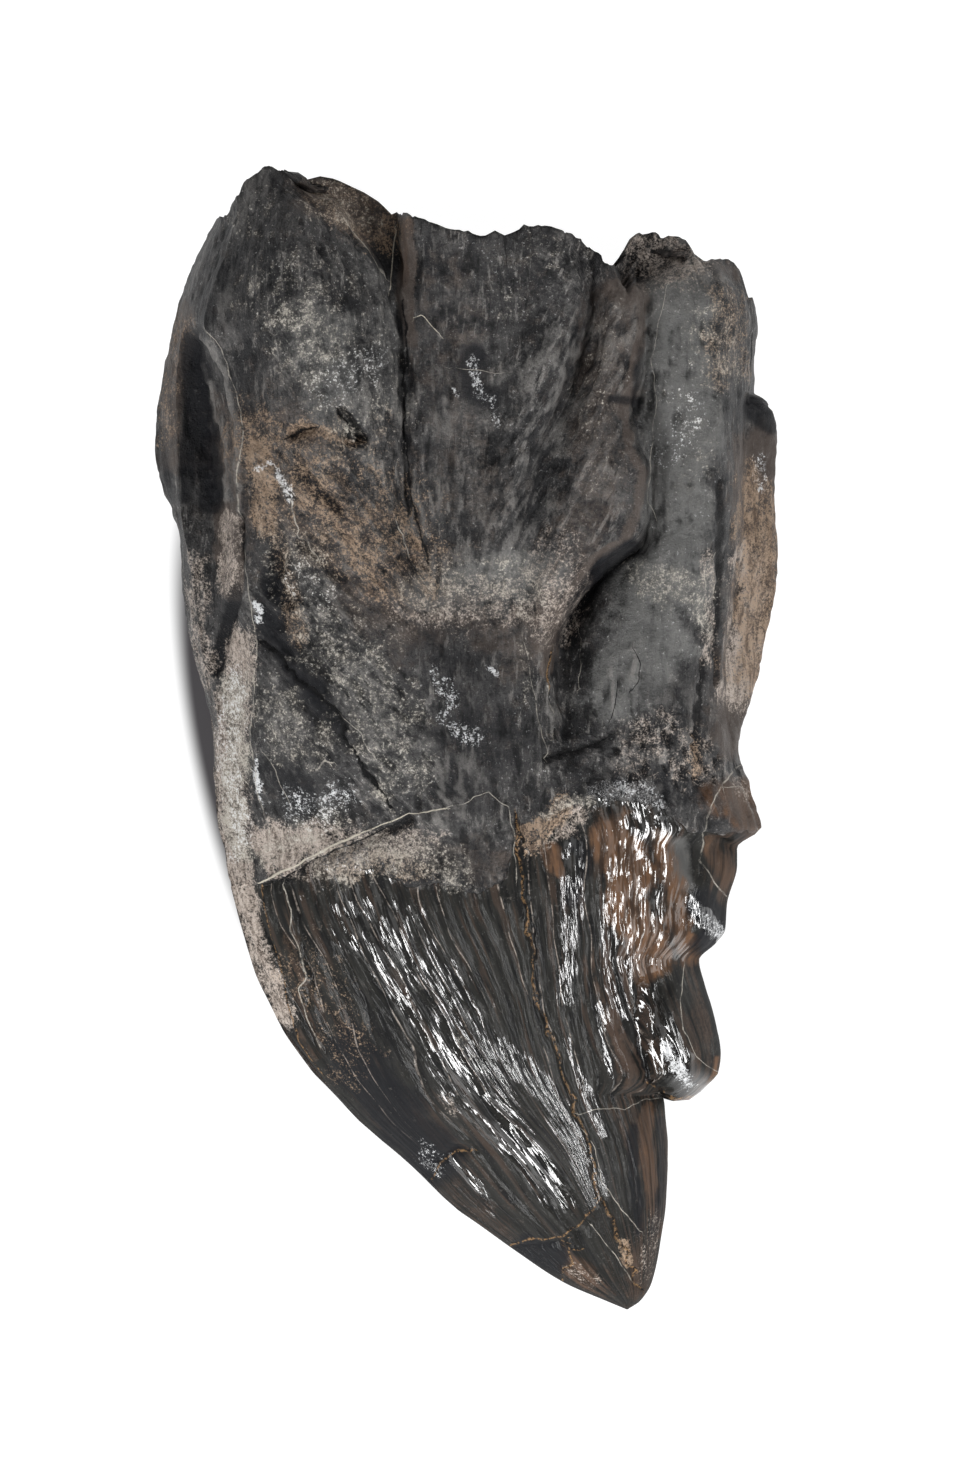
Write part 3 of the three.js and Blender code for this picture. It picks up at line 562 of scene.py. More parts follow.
GREY, BROWN, AMBER, TAN, OCHRE, CREAM, BLACK, FROST, GLOSS, POLISH = Tone
PALE, FAINT, DARK, RUSTY = Vein
STAINS: tuple[Stain, ...] = (
    # left lobe
    Stain("grey middle of the left lobe", GREY, 0.65, 3.2, ((-10.2, 28), (-9.1, 23.2)), 2),
    Stain("speckle on the left lobe", CREAM, 0.5, 1.9, ((-11.3, 28.8), (-10.2, 27.2), (-10, 25.1)), 1.4),
    Stain("thin speckle round it", CREAM, 0.32, 4.6, ((-11.5, 30), (-9.1, 25.2), (-7.4, 23.2)), 2.4),
    Stain("frosty side of the speckle", FROST, 0.3, 1.8, ((-9.4, 24.2), (-7, 25.6)), 1.6),
    Stain("speckle below the lobe's top", CREAM, 0.22, 1.8, ((-14.4, 36.5), (-14.9, 35.4)), 1.4),
    Stain("lit right side of the lobe", GREY, 0.5, 1.6, ((-8, 35.2), (-5.7, 31.1), (-5, 23.2)), 1.2),
    Stain("black top of the left lobe", BLACK, 0.5, 2.8, ((-13.9, 37.9), (-15.9, 34.1), (-16.8, 30)), 1.8),
    Stain("dark left of the lobe", BLACK, 0.45, 1.8, ((-15.7, 28.7), (-15, 23.2), (-14.6, 21.1)), 1.4),
    Stain("brown under the speckle", BROWN, 0.35, 3.4, ((-13.2, 23.2), (-10.1, 22.5)), 2.4),
    Stain("brown below the pits", BROWN, 0.6, 5,
        ((-14.1, 19.4), (-10.8, 15.7), (-6.7, 12.2), (-4.3, 9.5)), 3),
    Stain("ochre speckle of the band", OCHRE, 0.42, 3.2,
        ((-14.1, 20.4), (-12.2, 18.4), (-9.4, 15), (-6.8, 12.2)), 2.6),
    Stain("ochre speckle further right", OCHRE, 0.32, 4.6, ((-9.4, 18.4), (-6, 15), (-4.6, 12.2)), 3),
    Stain("ochre streak", OCHRE, 0.6, 0.8, ((-11.5, 17), (-9.4, 15), (-7.9, 13.3), (-6.1, 10.2)), 0.8),
    Stain("ochre corner of the lobe", OCHRE, 0.72, 1.3, ((-14.4, 20.1), (-13.9, 17.7), (-14.1, 15)), 1.2),
    Stain("lower ochre corner", OCHRE, 0.5, 0.9, ((-13.7, 15), (-12.8, 13.3), (-12, 9.5), (-11.5, 6.7)), 0.9),
    Stain("crystals at the corner", FROST, 0.7, 0.3,
        ((-14.1, 18.5), (-13.4, 18.9), (-12.8, 18.1), (-12.2, 16.3)), 0.4),
    Stain("crystals lower down", FROST, 0.95, 0.28, ((-14.5, 9.2), (-14.1, 8.7), (-14.4, 8.1)), 0.3),
    Stain("ochre rim at the pits", OCHRE, 0.75, 0.5,
        ((-12.2, 20.9), (-10.2, 21.1), (-8.4, 20.4), (-7.2, 20.4)), 0.6),
    Stain("cream in the pits", CREAM, 0.75, 0.35, ((-8.3, 22), (-7.9, 21.1), (-7.6, 20.7)), 0.3),
    Stain("black pits of the band", BLACK, 0.9, 1.1, ((-12.5, 12.2), (-13.2, 10.2), (-12.2, 9.5)), 1.2),
    Stain("dark streak in the band", BLACK, 0.75, 0.5, ((-11.6, 18.4), (-10.2, 17), (-9, 15.8)), 0.5),
    Stain("second dark streak", BLACK, 0.7, 0.5, ((-11.5, 13.3), (-10, 12.2), (-8.4, 10.9)), 0.5),
    Stain("dark below the band", BLACK, 0.75, 1.3, ((-13.7, 7.8), (-11.5, 4), (-8.7, 1.3)), 0.8),
    Stain("cream specks under the band", CREAM, 0.4, 3,
        ((-12.2, 12.2), (-9.4, 6.7), (-6, 2.6), (-4.6, -2.2)), 2.4),
    Stain("greenish mottle", CREAM, 0.3, 1.6, ((-8.4, 8.8), (-6.5, 6.7), (-5.4, 7.4)), 1.6),
    Stain("frost under the band", FROST, 0.25, 1.6, ((-11.5, 10.9), (-10.2, 10.2)), 1.2),
    # flank
    Stain("shade of the flank's rim", BLACK, 0.65, 1.1,
        ((-17.8, 36.9), (-20, 32.6), (-21.3, 27.3), (-21.6, 21.1), (-21.1, 17.7)), 0.8),
    Stain("brown flank band", BROWN, 0.75, 1.3, ((-19.6, 29), (-20.2, 23.2), (-20.5, 19.1)), 0.9),
    Stain("orange on the flank band", OCHRE, 0.3, 0.8, ((-19.3, 28.7), (-20.4, 24.6), (-20.7, 20.4))),
    # painted shade in the flank's hollow and its groove
    Stain("dark hollow of the flank", BLACK, 0.95, 1.1, ((-18.6, 27), (-18, 21.8), (-17.6, 16.3)), 0.6),
    Stain("dark of the flank's other groove", BLACK, 0.9, 0.7,
        ((-19, 26.6), (-19.1, 21.1), (-19.3, 16.3)), 0.4),
    Stain("grey ridge of the flank", GREY, 0.3, 0.5,
        ((-18, 27), (-16.5, 24.2), (-15.7, 21.1), (-15.6, 15)), 0.4),
    Stain("brown flank facet", BROWN, 1, 1, ((-16.5, 15.7), (-16.5, 12.2), (-16.1, 10.2)), 0.5),
    Stain("tan of the flank facet", TAN, 0.5, 0.8, ((-16.5, 15), (-16.5, 12.2), (-16.3, 10.5)), 0.8),
    Stain("speckle on the lower flank", TAN, 0.4, 0.9, ((-18.6, 12.2), (-18.3, 8.1), (-17.8, 4))),
    # painted shade in the step below the flank's facet
    Stain("dark between flank and strip", BLACK, 0.7, 0.6, ((-16.1, 10.2), (-16.5, 7.4), (-17.4, 4.7)), 0.5),
    Stain("tan strip down the left edge", TAN, 0.72, 1.35,
        ((-15.6, 6.7), (-16.1, 2.6), (-16.3, -2.8), (-15.9, -7.6), (-15.2, -11.1)), 0.7),
    Stain("tan strip's lower part", TAN, 0.65, 0.9,
        ((-15.2, -11.1), (-14.5, -14.1), (-13.3, -17.2), (-12.3, -19.3)), 0.6),
    Stain("pale core of the strip", CREAM, 0.8, 1.1, ((-16, 4), (-16.1, -3.5), (-15.6, -7.6))),
    Stain("white specks of the strip", FROST, 0.42, 0.9, ((-16, 4), (-16.3, -1.5), (-15.6, -7.6)), 1.2),
    Stain("brown specks of the strip", BROWN, 0.45, 0.8, ((-15.9, 5.4), (-16.4, -0.1), (-16.1, -6.3)), 1.4),
    Stain("brown at the strip", BROWN, 0.6, 0.6, ((-17.2, 1.3), (-17.2, -5.6), (-16.5, -9.7)), 0.5),
    # window and left furrow
    Stain("window floor", BROWN, 0.9, 2.2, ((-10.2, 37.4), (-8, 36.5), (-6.3, 35.2))),
    Stain("tan of the window floor", OCHRE, 0.5, 1.8, ((-9.8, 37), (-7.4, 35.9), (-5.9, 34.7))),
    Stain("haze of the window floor", CREAM, 0.4, 2.2, ((-10, 37.2), (-7.7, 36.1)), 1.2),
    Stain("cream in the window", CREAM, 0.5, 0.9, ((-7.4, 36.1), (-6.5, 35.2)), 0.6),
    Stain("shade at the window's foot", BLACK, 0.6, 0.9, ((-6.4, 33.5), (-5.4, 32), (-5.7, 33.5)), 0.5),
    Stain("reddish wall of the middle lobe", BROWN, 1, 0.7, ((-4.1, 35), (-4.3, 30.7), (-3.9, 27.3)), 0.4),
    Stain("orange on the reddish wall", AMBER, 0.55, 0.5, ((-4.2, 35.2), (-4.2, 30.7)), 0.5),
    # painted shade in the left furrow
    Stain("dark of the left furrow", BLACK, 0.5, 0.55,
        ((-4.5, 29.4), (-4.3, 23.2), (-4.1, 18.4), (-3.5, 15)), 0.4),
    Stain("drip below the left furrow", OCHRE, 0.55, 0.6, ((-4.3, 15), (-3.5, 12.9), (-2.4, 9.8)), 0.7),
    # middle lobe and plate
    Stain("grey of the middle lobe", GREY, 0.3, 4, ((0.2, 31.4), (0.2, 23.2), (0.9, 16.3)), 2.6),
    # painted shade along the narrow furrow beside the plate
    Stain("dark diagonal of the middle lobe", BLACK, 0.4, 1.3,
        ((8.4, 30.7), (7.2, 27), (5.7, 21.8), (4.3, 17.7), (3.6, 13.6)), 1.2),
    Stain("dark left side of the middle lobe", BLACK, 0.35, 1.2,
        ((-2.6, 34.1), (-2.9, 28), (-1.9, 21.8), (-1.2, 13.6)), 1.2),
    Stain("middle lobe smear", CREAM, 0.32, 0.8, ((2.8, 30.7), (2.4, 28.3)), 0.8),
    Stain("mottle at the lobe's top", CREAM, 0.22, 1.6, ((5, 33.8), (7.4, 32.6)), 1.4),
    Stain("middle lobe brown", BROWN, 0.4, 3.6, ((-1.2, 30), (-1.2, 21.8), (0.9, 16.3)), 3),
    Stain("black of the glassy spots", BLACK, 0.85, 1.1, ((0.5, 26.2), (0.4, 23.9), (1.7, 23.2)), 0.8),
    # painted glints on the black glassy spots
    Stain("white of the glassy spots", FROST, 1, 0.22, ((-0.9, 23.8), (-0.7, 23.7)), 0.1),
    Stain("more white of the glassy spots", FROST, 0.5, 0.35,
        ((0.4, 25.9), (0.9, 23.5), (1.7, 23.2), (2.1, 21.5)), 0.5),
    Stain("plate face", BROWN, 0.55, 2.6, ((9.9, 30), (9.1, 23.2), (9.1, 17.7), (7, 12.2)), 1.8),
    Stain("streaks on the plate", CREAM, 0.2, 2, ((9.8, 28), (8, 23.2), (9.1, 18.4)), 1.8),
    Stain("foot of the middle lobe", TAN, 0.38, 2.4, ((5, 10.2), (6.1, 12.2), (5.7, 8.8)), 2),
    Stain("brown foot of the plate", BROWN, 0.9, 1.4, ((5.5, 9.5), (5.3, 6.7), (4.6, 8.1))),
    Stain("broken top of the plate", BROWN, 1, 0.9, ((9.9, 30.7), (11.8, 30.4)), 0.5),
    Stain("plate rim", BROWN, 1, 0.45,
        ((12, 30), (11.7, 27), (11.1, 24.6), (10.6, 22.6), (11.1, 19.8), (12, 18.3), (11.5, 15.3),
         (11, 13.9), (8.9, 12.5), (6.9, 9.9), (5.7, 7.2), (5.4, 4.7)), 0.3),
    # painted shade beside and under the plate's overhanging rim, and in the notch beside it
    Stain("shade beside the plate", BLACK, 0.6, 0.35, ((11.8, 26.6), (11.3, 23.2)), 0.2),
    Stain("shade under the plate", BLACK, 1, 0.9, ((11.1, 13), (9.5, 11.8), (7.7, 9.5), (6.7, 6.7)), 0.35),
    Stain("dark notch beside the plate", BLACK, 0.8, 0.4, ((9.9, 23.3), (11.8, 23.1)), 0.2),
    # saddle and neck
    Stain("saddle", CREAM, 0.42, 2.2, ((-2.6, 10.2), (0.2, 10.3), (3.9, 10.9)), 1.8),
    Stain("saddle's tan", TAN, 0.36, 2.2, ((-2.9, 9.5), (0.9, 9.5), (5, 10.5)), 1.8),
    Stain("grey of the saddle", GREY, 0.9, 2.2, ((-2.6, 9.8), (0.9, 10.2), (5, 10.9)), 1.6),
    Stain("saddle brown", BROWN, 0.6, 2.6, ((-4.6, 10.2), (0.2, 8.8), (3.6, 6.1)), 1.8),
    Stain("cream down from the saddle", CREAM, 0.34, 0.6, ((3.7, 9.5), (3.9, 6.1), (4.1, 3.3)), 0.6),
    Stain("charcoal below the saddle", BLACK, 0.5, 3.6, ((-1.5, 6.1), (0.9, 1.3), (0.2, -2.8)), 2.2),
    Stain("glints below the saddle", FROST, 0.45, 0.5,
        ((-2.4, 4.6), (-0.9, 2.6), (-1.9, 1.4), (-0.7, 0.7), (0.2, 0.2)), 0.8),
    Stain("small glint", FROST, 0.5, 0.2, ((1.5, 4.8), (2, 4.4)), 0.2),
    Stain("dark fill between the cracks", BLACK, 0.6, 1.8,
        ((-12.5, -2.2), (-11.5, -3.2), (-11.8, -4.2)), 1.2),
    Stain("speckle at the left of the neck", CREAM, 0.4, 2.2,
        ((-13.2, 2.6), (-12.2, -0.1), (-10.1, -0.4)), 1.6),
    Stain("crystals on the strip's edge", FROST, 0.8, 0.3,
        ((-14.5, -1.5), (-14.4, -3.5), (-14.1, -4.6)), 0.4),
    Stain("grey of the neck", GREY, 0.4, 3, ((-8, 3.3), (-4.6, -0.1), (-4.6, -3.5)), 2.4),
    Stain("tan at the left of the neck", TAN, 0.75, 1.8, ((-13.7, -7.6), (-12.2, -7.3), (-10.2, -6.8)), 1.4),
    Stain("speckle at the left of the neck's foot", CREAM, 0.5, 1.5,
        ((-13.4, -7.6), (-11.5, -6.4), (-9.4, -5.7)), 1.4),
    Stain("frost on the left of the neck", FROST, 0.42, 1.6, ((-11.8, -4.8), (-10.2, -5), (-9.3, -4.2)), 1.4),
    Stain("tan cement", TAN, 0.5, 1.6, ((-10.1, -8.7), (-6.7, -7.6), (-3.3, -7.3)), 1.2),
    Stain("specks of the cement", CREAM, 0.48, 2, ((-9.4, -8.5), (-6, -8), (-1.2, -8.9)), 1.2),
    Stain("pits of the cement", BLACK, 0.4, 1.6, ((-8, -8.7), (-4.6, -8.5), (0.2, -9.1)), 2),
    Stain("ochre cement", OCHRE, 0.45, 1.2, ((-9.4, -8.6), (-6, -8.5), (-3.3, -8.9)), 1.2),
    Stain("brown cement", BROWN, 0.5, 2, ((-10.1, -8.5), (-4.6, -7.6), (-0.5, -8.3), (2.2, -8.7))),
    Stain("grey of the cement", GREY, 0.4, 1.6, ((-2.6, -7), (1.5, -6.3)), 1.4),
    Stain("cement at the crown's middle", OCHRE, 0.75, 0.9, ((4.1, -6.8), (5.3, -5.7), (6.7, -4.6)), 0.9),
    Stain("tan by the crown's middle", TAN, 0.45, 0.9, ((4.3, -7.6), (6.3, -6.4), (7.4, -5.2)), 0.9),
    Stain("white cement at the right", CREAM, 0.7, 0.5, ((5.3, -5.2), (7, -4.3), (8.5, -4.2)), 0.5),
    # white crumple of the cervix, partly painted glints
    Stain("crumpled white of the cervix", FROST, 0.4, 0.7,
        ((9.4, -3.9), (10.8, -3.2), (12.2, -3.5), (13.2, -4.6)), 0.7),
    Stain("gloss of the crumpled cervix", GLOSS, 0.9, 1.2, ((9.1, -4), (11.1, -3.4), (12.8, -4.2)), 0.8),
    Stain("black of the crumpled cervix", BLACK, 0.6, 1.2, ((9.8, -2.8), (12.5, -2.5), (14.3, -4.2))),
    # right lobe and slab
    Stain("grey of the right lobe", GREY, 1, 3.2, ((14.6, 30), (14.8, 23.2), (14.4, 15)), 1.4),
    Stain("grey lower on the right lobe", GREY, 0.9, 2.8, ((11.8, 9.5), (13.2, 6.7), (10.4, 3.3)), 2),
    Stain("smooth strip beside the plate", GREY, 0.75, 0.9, ((12.6, 28.7), (12.5, 24.6), (12.8, 19.8)), 0.6),
    Stain("right lobe's broken end", TAN, 0.45, 2.2, ((11.8, 33.5), (13.5, 32.6), (15.2, 32.6)), 1.2),
    Stain("right lobe's end shade", BLACK, 0.4, 0.5, ((11.8, 32), (14, 31.7), (13.3, 33.5)), 0.8),
    Stain("black chips of the end", BLACK, 0.35, 0.8, ((12.6, 34.3), (14.8, 33.7), (16.3, 32.2))),
    Stain("brown of the right top", BROWN, 0.6, 1, ((17, 32.2), (18.5, 32)), 0.8),
    Stain("tan at the right rim", OCHRE, 0.42, 1.5, ((17.8, 30), (18.1, 27.3), (17.4, 25.2)), 1.2),
    Stain("haze at the right rim", CREAM, 0.36, 1.8, ((16.7, 28), (17.4, 25.1)), 1.6),
    Stain("mottle near the right rim", CREAM, 0.3, 1.4, ((17, 29.4), (17.6, 26.6), (16.7, 24.6)), 1.2),
    Stain("mottle lower on the rim", OCHRE, 0.4, 0.9, ((18.5, 30), (18.8, 25.2)), 0.9),
    Stain("pale patch of the right lobe", CREAM, 0.3, 1.6, ((14.7, 23.2), (15.5, 21.1), (15.9, 18.4)), 1.5),
    Stain("frosty patch of the right lobe", FROST, 0.25, 1.4, ((15.2, 22.5), (14.3, 19.8)), 1.2),
    Stain("pale saddle of the right lobe", GREY, 1, 2.2, ((11.1, 11.5), (13.2, 10.9), (15.9, 10.2)), 1.4),
    Stain("haze of the right lobe's saddle", CREAM, 0.5, 1.8, ((11.8, 11.2), (15.2, 10.2)), 1.6),
    Stain("mottle by the slab", CREAM, 0.55, 0.6, ((16.3, 10.9), (15.9, 8.5), (16.3, 7.4)), 0.5),
    Stain("tan by the slab", TAN, 0.4, 0.7, ((16.5, 12.2), (16.7, 8.1), (16.5, 5.4)), 0.7),
    Stain("dark right side of the lobe", BLACK, 0.3, 0.8, ((17.4, 19.8), (17.4, 12.2), (17.4, 5.4)), 0.5),
    Stain("dark lower right of the lobe", BLACK, 0.5, 1.6, ((13.2, 3.3), (15.2, 1.3), (15.9, -3.5)), 1.6),
    Stain("porous speckle", TAN, 0.26, 2.4, ((11.8, -1.5), (13.5, 0.2), (15.2, -1.5)), 1.8),
    Stain("gold specks", OCHRE, 0.6, 0.5, ((15.7, -0.1), (15.8, -2.5)), 0.6),
    Stain("grey edge beside the slab", GREY, 0.9, 0.45, ((17.8, 6.7), (18.3, 1.3), (18.7, -1.5)), 0.3),
    Stain("slab", BROWN, 1, 2.6, ((20.3, 19.4), (20.3, 12.2), (19.5, 5.4), (18.7, 0.6)), 0.5),
    Stain("slab's orange", OCHRE, 0.75, 1.7, ((20, 17), (20, 10.9), (19.2, 4.7)), 1.4),
    Stain("slab's tan", TAN, 0.7, 1.6, ((19.5, 12.2), (19.2, 6.7), (18.8, 3.3)), 1.6),
    Stain("slab's dark top", BLACK, 1, 1.2, ((19.8, 22.6), (21, 21.8)), 0.5),
    Stain("slab's smudge", FROST, 0.4, 0.5, ((20.2, 19.1), (20.3, 17)), 0.5),
    # crown
    Stain("amber enamel", AMBER, 0.95, 2, ((9.9, -6.6), (10.8, -9), (11.8, -13.1), (12.2, -15.5)), 1.4),
    Stain("amber enamel at the right", AMBER, 0.8, 1.1,
        ((13.3, -7), (14, -9.7), (14.6, -13.1), (15.2, -14.8)), 0.9),
    Stain("brown below the amber", BROWN, 0.8, 1.8, ((9.9, -15.2), (10.4, -17.9), (11.8, -22)), 1.4),
    Stain("amber near the central crack", AMBER, 0.8, 0.7, ((5.7, -7.6), (6.1, -9)), 0.5),
    Stain("reddish side of the crown", BROWN, 0.7, 2, ((11.8, -22), (11.5, -25.4), (12.8, -28.2)), 1.4),
    Stain("navy right of the crack", BLACK, 0.7, 0.9, ((7.2, -6.3), (8, -9), (7.2, -11.1)), 0.8),
    Stain("smooth grey patch", GREY, 0.8, 1, ((14.4, -7.3), (14.6, -9.7)), 0.6),
    Stain("dark smooth patch", BLACK, 0.3, 1.1, ((14, -6.3), (14.6, -9.7), (15.6, -11.1)), 0.6),
    Stain("navy gloss on the left", BLACK, 0.95, 2.3, ((-8, -21.7), (-5.3, -25.1), (-2.2, -28.9))),
    # painted highlight on the navy patch
    Stain("frost at the navy patch", FROST, 0.35, 0.7, ((-2.9, -28.2), (-2, -29.7)), 0.8),
    Stain("navy spot near the tip", BLACK, 1, 1.3, ((4.1, -35), (6.1, -35.7)), 0.6),
    Stain("pink of the cusp's side", BROWN, 0.9, 1.3,
        ((12.8, -26.8), (12.9, -30.9), (12.4, -35), (11.8, -37.4)), 0.9),
    Stain("dark streak of the cusp's side", BLACK, 0.85, 0.5,
        ((11.3, -26.8), (11.4, -30.2), (11.8, -33.7)), 0.5),
    Stain("second dark streak of the cusp", BLACK, 0.75, 0.4,
        ((13.3, -26.1), (13.3, -30.2), (12.9, -33.7)), 0.4),
    Stain("orange streak of the cusp", AMBER, 0.95, 0.6,
        ((12.4, -25.4), (12.2, -28.2), (12.6, -30.9), (13, -33.7)), 0.5),
    Stain("tan at the cusp's side", TAN, 0.2, 0.8, ((12.8, -33), (12.2, -36.4)), 0.7),
    Stain("bared dentine at the tip", AMBER, 0.8, 0.9, ((7.2, -36.1), (8.4, -37)), 0.5),
    Stain("tan of the dentine", TAN, 0.3, 0.7, ((7.2, -36.3), (8.5, -37.1)), 0.5),
    Stain("brown round the dentine", BROWN, 1, 1.1, ((6.9, -35.9), (9.1, -37.2)), 0.5),
    Stain("tip", BROWN, 0.4, 1.4, ((9.8, -37.8), (11.3, -38.3)), 0.8),
    Stain("lump on the central crack", OCHRE, 0.8, 0.42, ((10.7, -34.6), (11, -35.9)), 0.3),
    Stain("ochre speckle left of the crown", OCHRE, 0.22, 2.2, ((-11.5, -15.2), (-9.1, -18.6), (-8, -22)), 2),
    Stain("pale haze left of the strands", TAN, 0.28, 0.5, ((-1.5, -24.5), (-1, -25.6)), 0.4),
    Stain("brown at the left crack", BROWN, 0.7, 0.7,
        ((-12.6, -11.1), (-11.5, -16.5), (-10.9, -20), (-10.2, -21.5)), 0.6),
    Stain("brown chip", BROWN, 0.45, 2, ((-1.2, -30.9), (2.2, -33.3)), 1.2),
    # denticles
    Stain("amber horn", AMBER, 0.85, 1.6, ((17.4, -4.3), (18.8, -4.2), (19.8, -6.4))),
    Stain("horn's dark facet", BLACK, 0.5, 0.7, ((18.5, -6.3), (19.5, -6.8)), 0.5),
    Stain("amber below the horn", AMBER, 0.75, 1, ((17, -7.6), (17.7, -9.7)), 0.7),
    Stain("polished face of the hook", POLISH, 1, 1.3, ((13, -20.2), (14, -22), (15.4, -23.8)), 0.7),
    # painted highlight on the hook's polished face
    Stain("white of the polished face", FROST, 0.8, 0.55, ((13.5, -20.8), (14.1, -22), (15.1, -23.5)), 0.4),
    Stain("polished streaks near the tip", POLISH, 0.6, 0.7, ((2, -26.5), (4.3, -28.9), (6.1, -31.3)), 0.9),
    Stain("horn's brown", BROWN, 0.9, 1.4, ((18.3, -3.9), (19.5, -6.1), (17.4, -8.3), (17.4, -10.4)), 0.8),
    Stain("horn's tan edge", TAN, 0.4, 0.5, ((18.5, -3), (19.2, -4.2)), 0.4),
    Stain("middle denticle", BLACK, 0.95, 1.2, ((15.9, -11.1), (17, -12.8), (16.3, -14.1)), 0.7),
    # painted glints on the middle denticle's crumple
    Stain("white crumple of the middle denticle", FROST, 0.55, 0.5,
        ((15.4, -11.4), (16.3, -12.3), (17.2, -13.1)), 0.5),
    Stain("hook's outer facet", GREY, 0.35, 1, ((15.9, -16.5), (16.7, -20.7)), 0.8),
    Stain("hook's brown", BROWN, 0.6, 1, ((15.9, -15.9), (15.9, -20), (16.3, -24.1)), 0.8),
    Stain("hook's orange edge", AMBER, 0.9, 0.35,
        ((17.2, -22), (16.9, -23.4), (15.8, -24.6), (14.6, -24.9)), 0.3),
    # where the enamel is crumpled and glassy
    Stain("glassy band left of the crack", GLOSS, 0.8, 3.4,
        ((-8, -9.7), (-5.7, -13.8), (-1.9, -18.9), (0.9, -22.7)), 2),
    Stain("glassy strand left of the tip", GLOSS, 1, 1.3,
        ((-0.1, -20.7), (1.7, -24.8), (3.6, -27.8), (6.5, -31.6)), 0.6),
    Stain("glassy strand right of it", GLOSS, 1, 1,
        ((2.2, -21.3), (5.3, -24.1), (7.7, -28.2), (8.8, -31.5)), 0.5),
    Stain("white between the strands", CREAM, 0.3, 0.5, ((-0.4, -20.4), (0.4, -21.7)), 0.5),
    Stain("glassy top right of the crack", GLOSS, 0.95, 1.1, ((7.4, -7.3), (7.2, -11.4)), 0.6),
    Stain("glassy strip below it", GLOSS, 0.88, 0.8, ((7.1, -12.1), (7, -15.2), (6.9, -17.9)), 0.5),
    Stain("thin glassy line", GLOSS, 1, 0.3, ((8.9, -18.3), (9.4, -21.3), (10, -23.9)), 0.2),
    Stain("glassy wrinkles on the amber", GLOSS, 0.95, 2.5,
        ((10.8, -5.2), (11.5, -9.7), (10.8, -13.8), (11.1, -17.9)), 1.2),
    Stain("glassy wrinkles right of the amber", GLOSS, 0.88, 1.2,
        ((13.5, -6.4), (14, -11.1), (14, -14.5)), 0.8),
    Stain("glassy wrinkles to the hook", GLOSS, 1, 1.2, ((12.4, -15.2), (12.6, -18.6), (14.3, -22)), 0.8),
    Stain("glassy edge of the middle denticle", GLOSS, 1, 0.8, ((15.2, -11.4), (17, -13.3)), 0.6),
    Stain("glassy line by the crack", GLOSS, 0.95, 0.45, ((6.7, -20.7), (8.4, -24.8), (9.4, -27.2)), 0.4),
    Stain("glassy chip", GLOSS, 0.95, 0.35, ((-1.2, -28.9), (0.7, -30.6), (1.7, -32.6)), 0.3),
    Stain("glassy corner of the chip", GLOSS, 0.95, 0.35, ((-2.6, -29.1), (-2, -29.8)), 0.2),
)
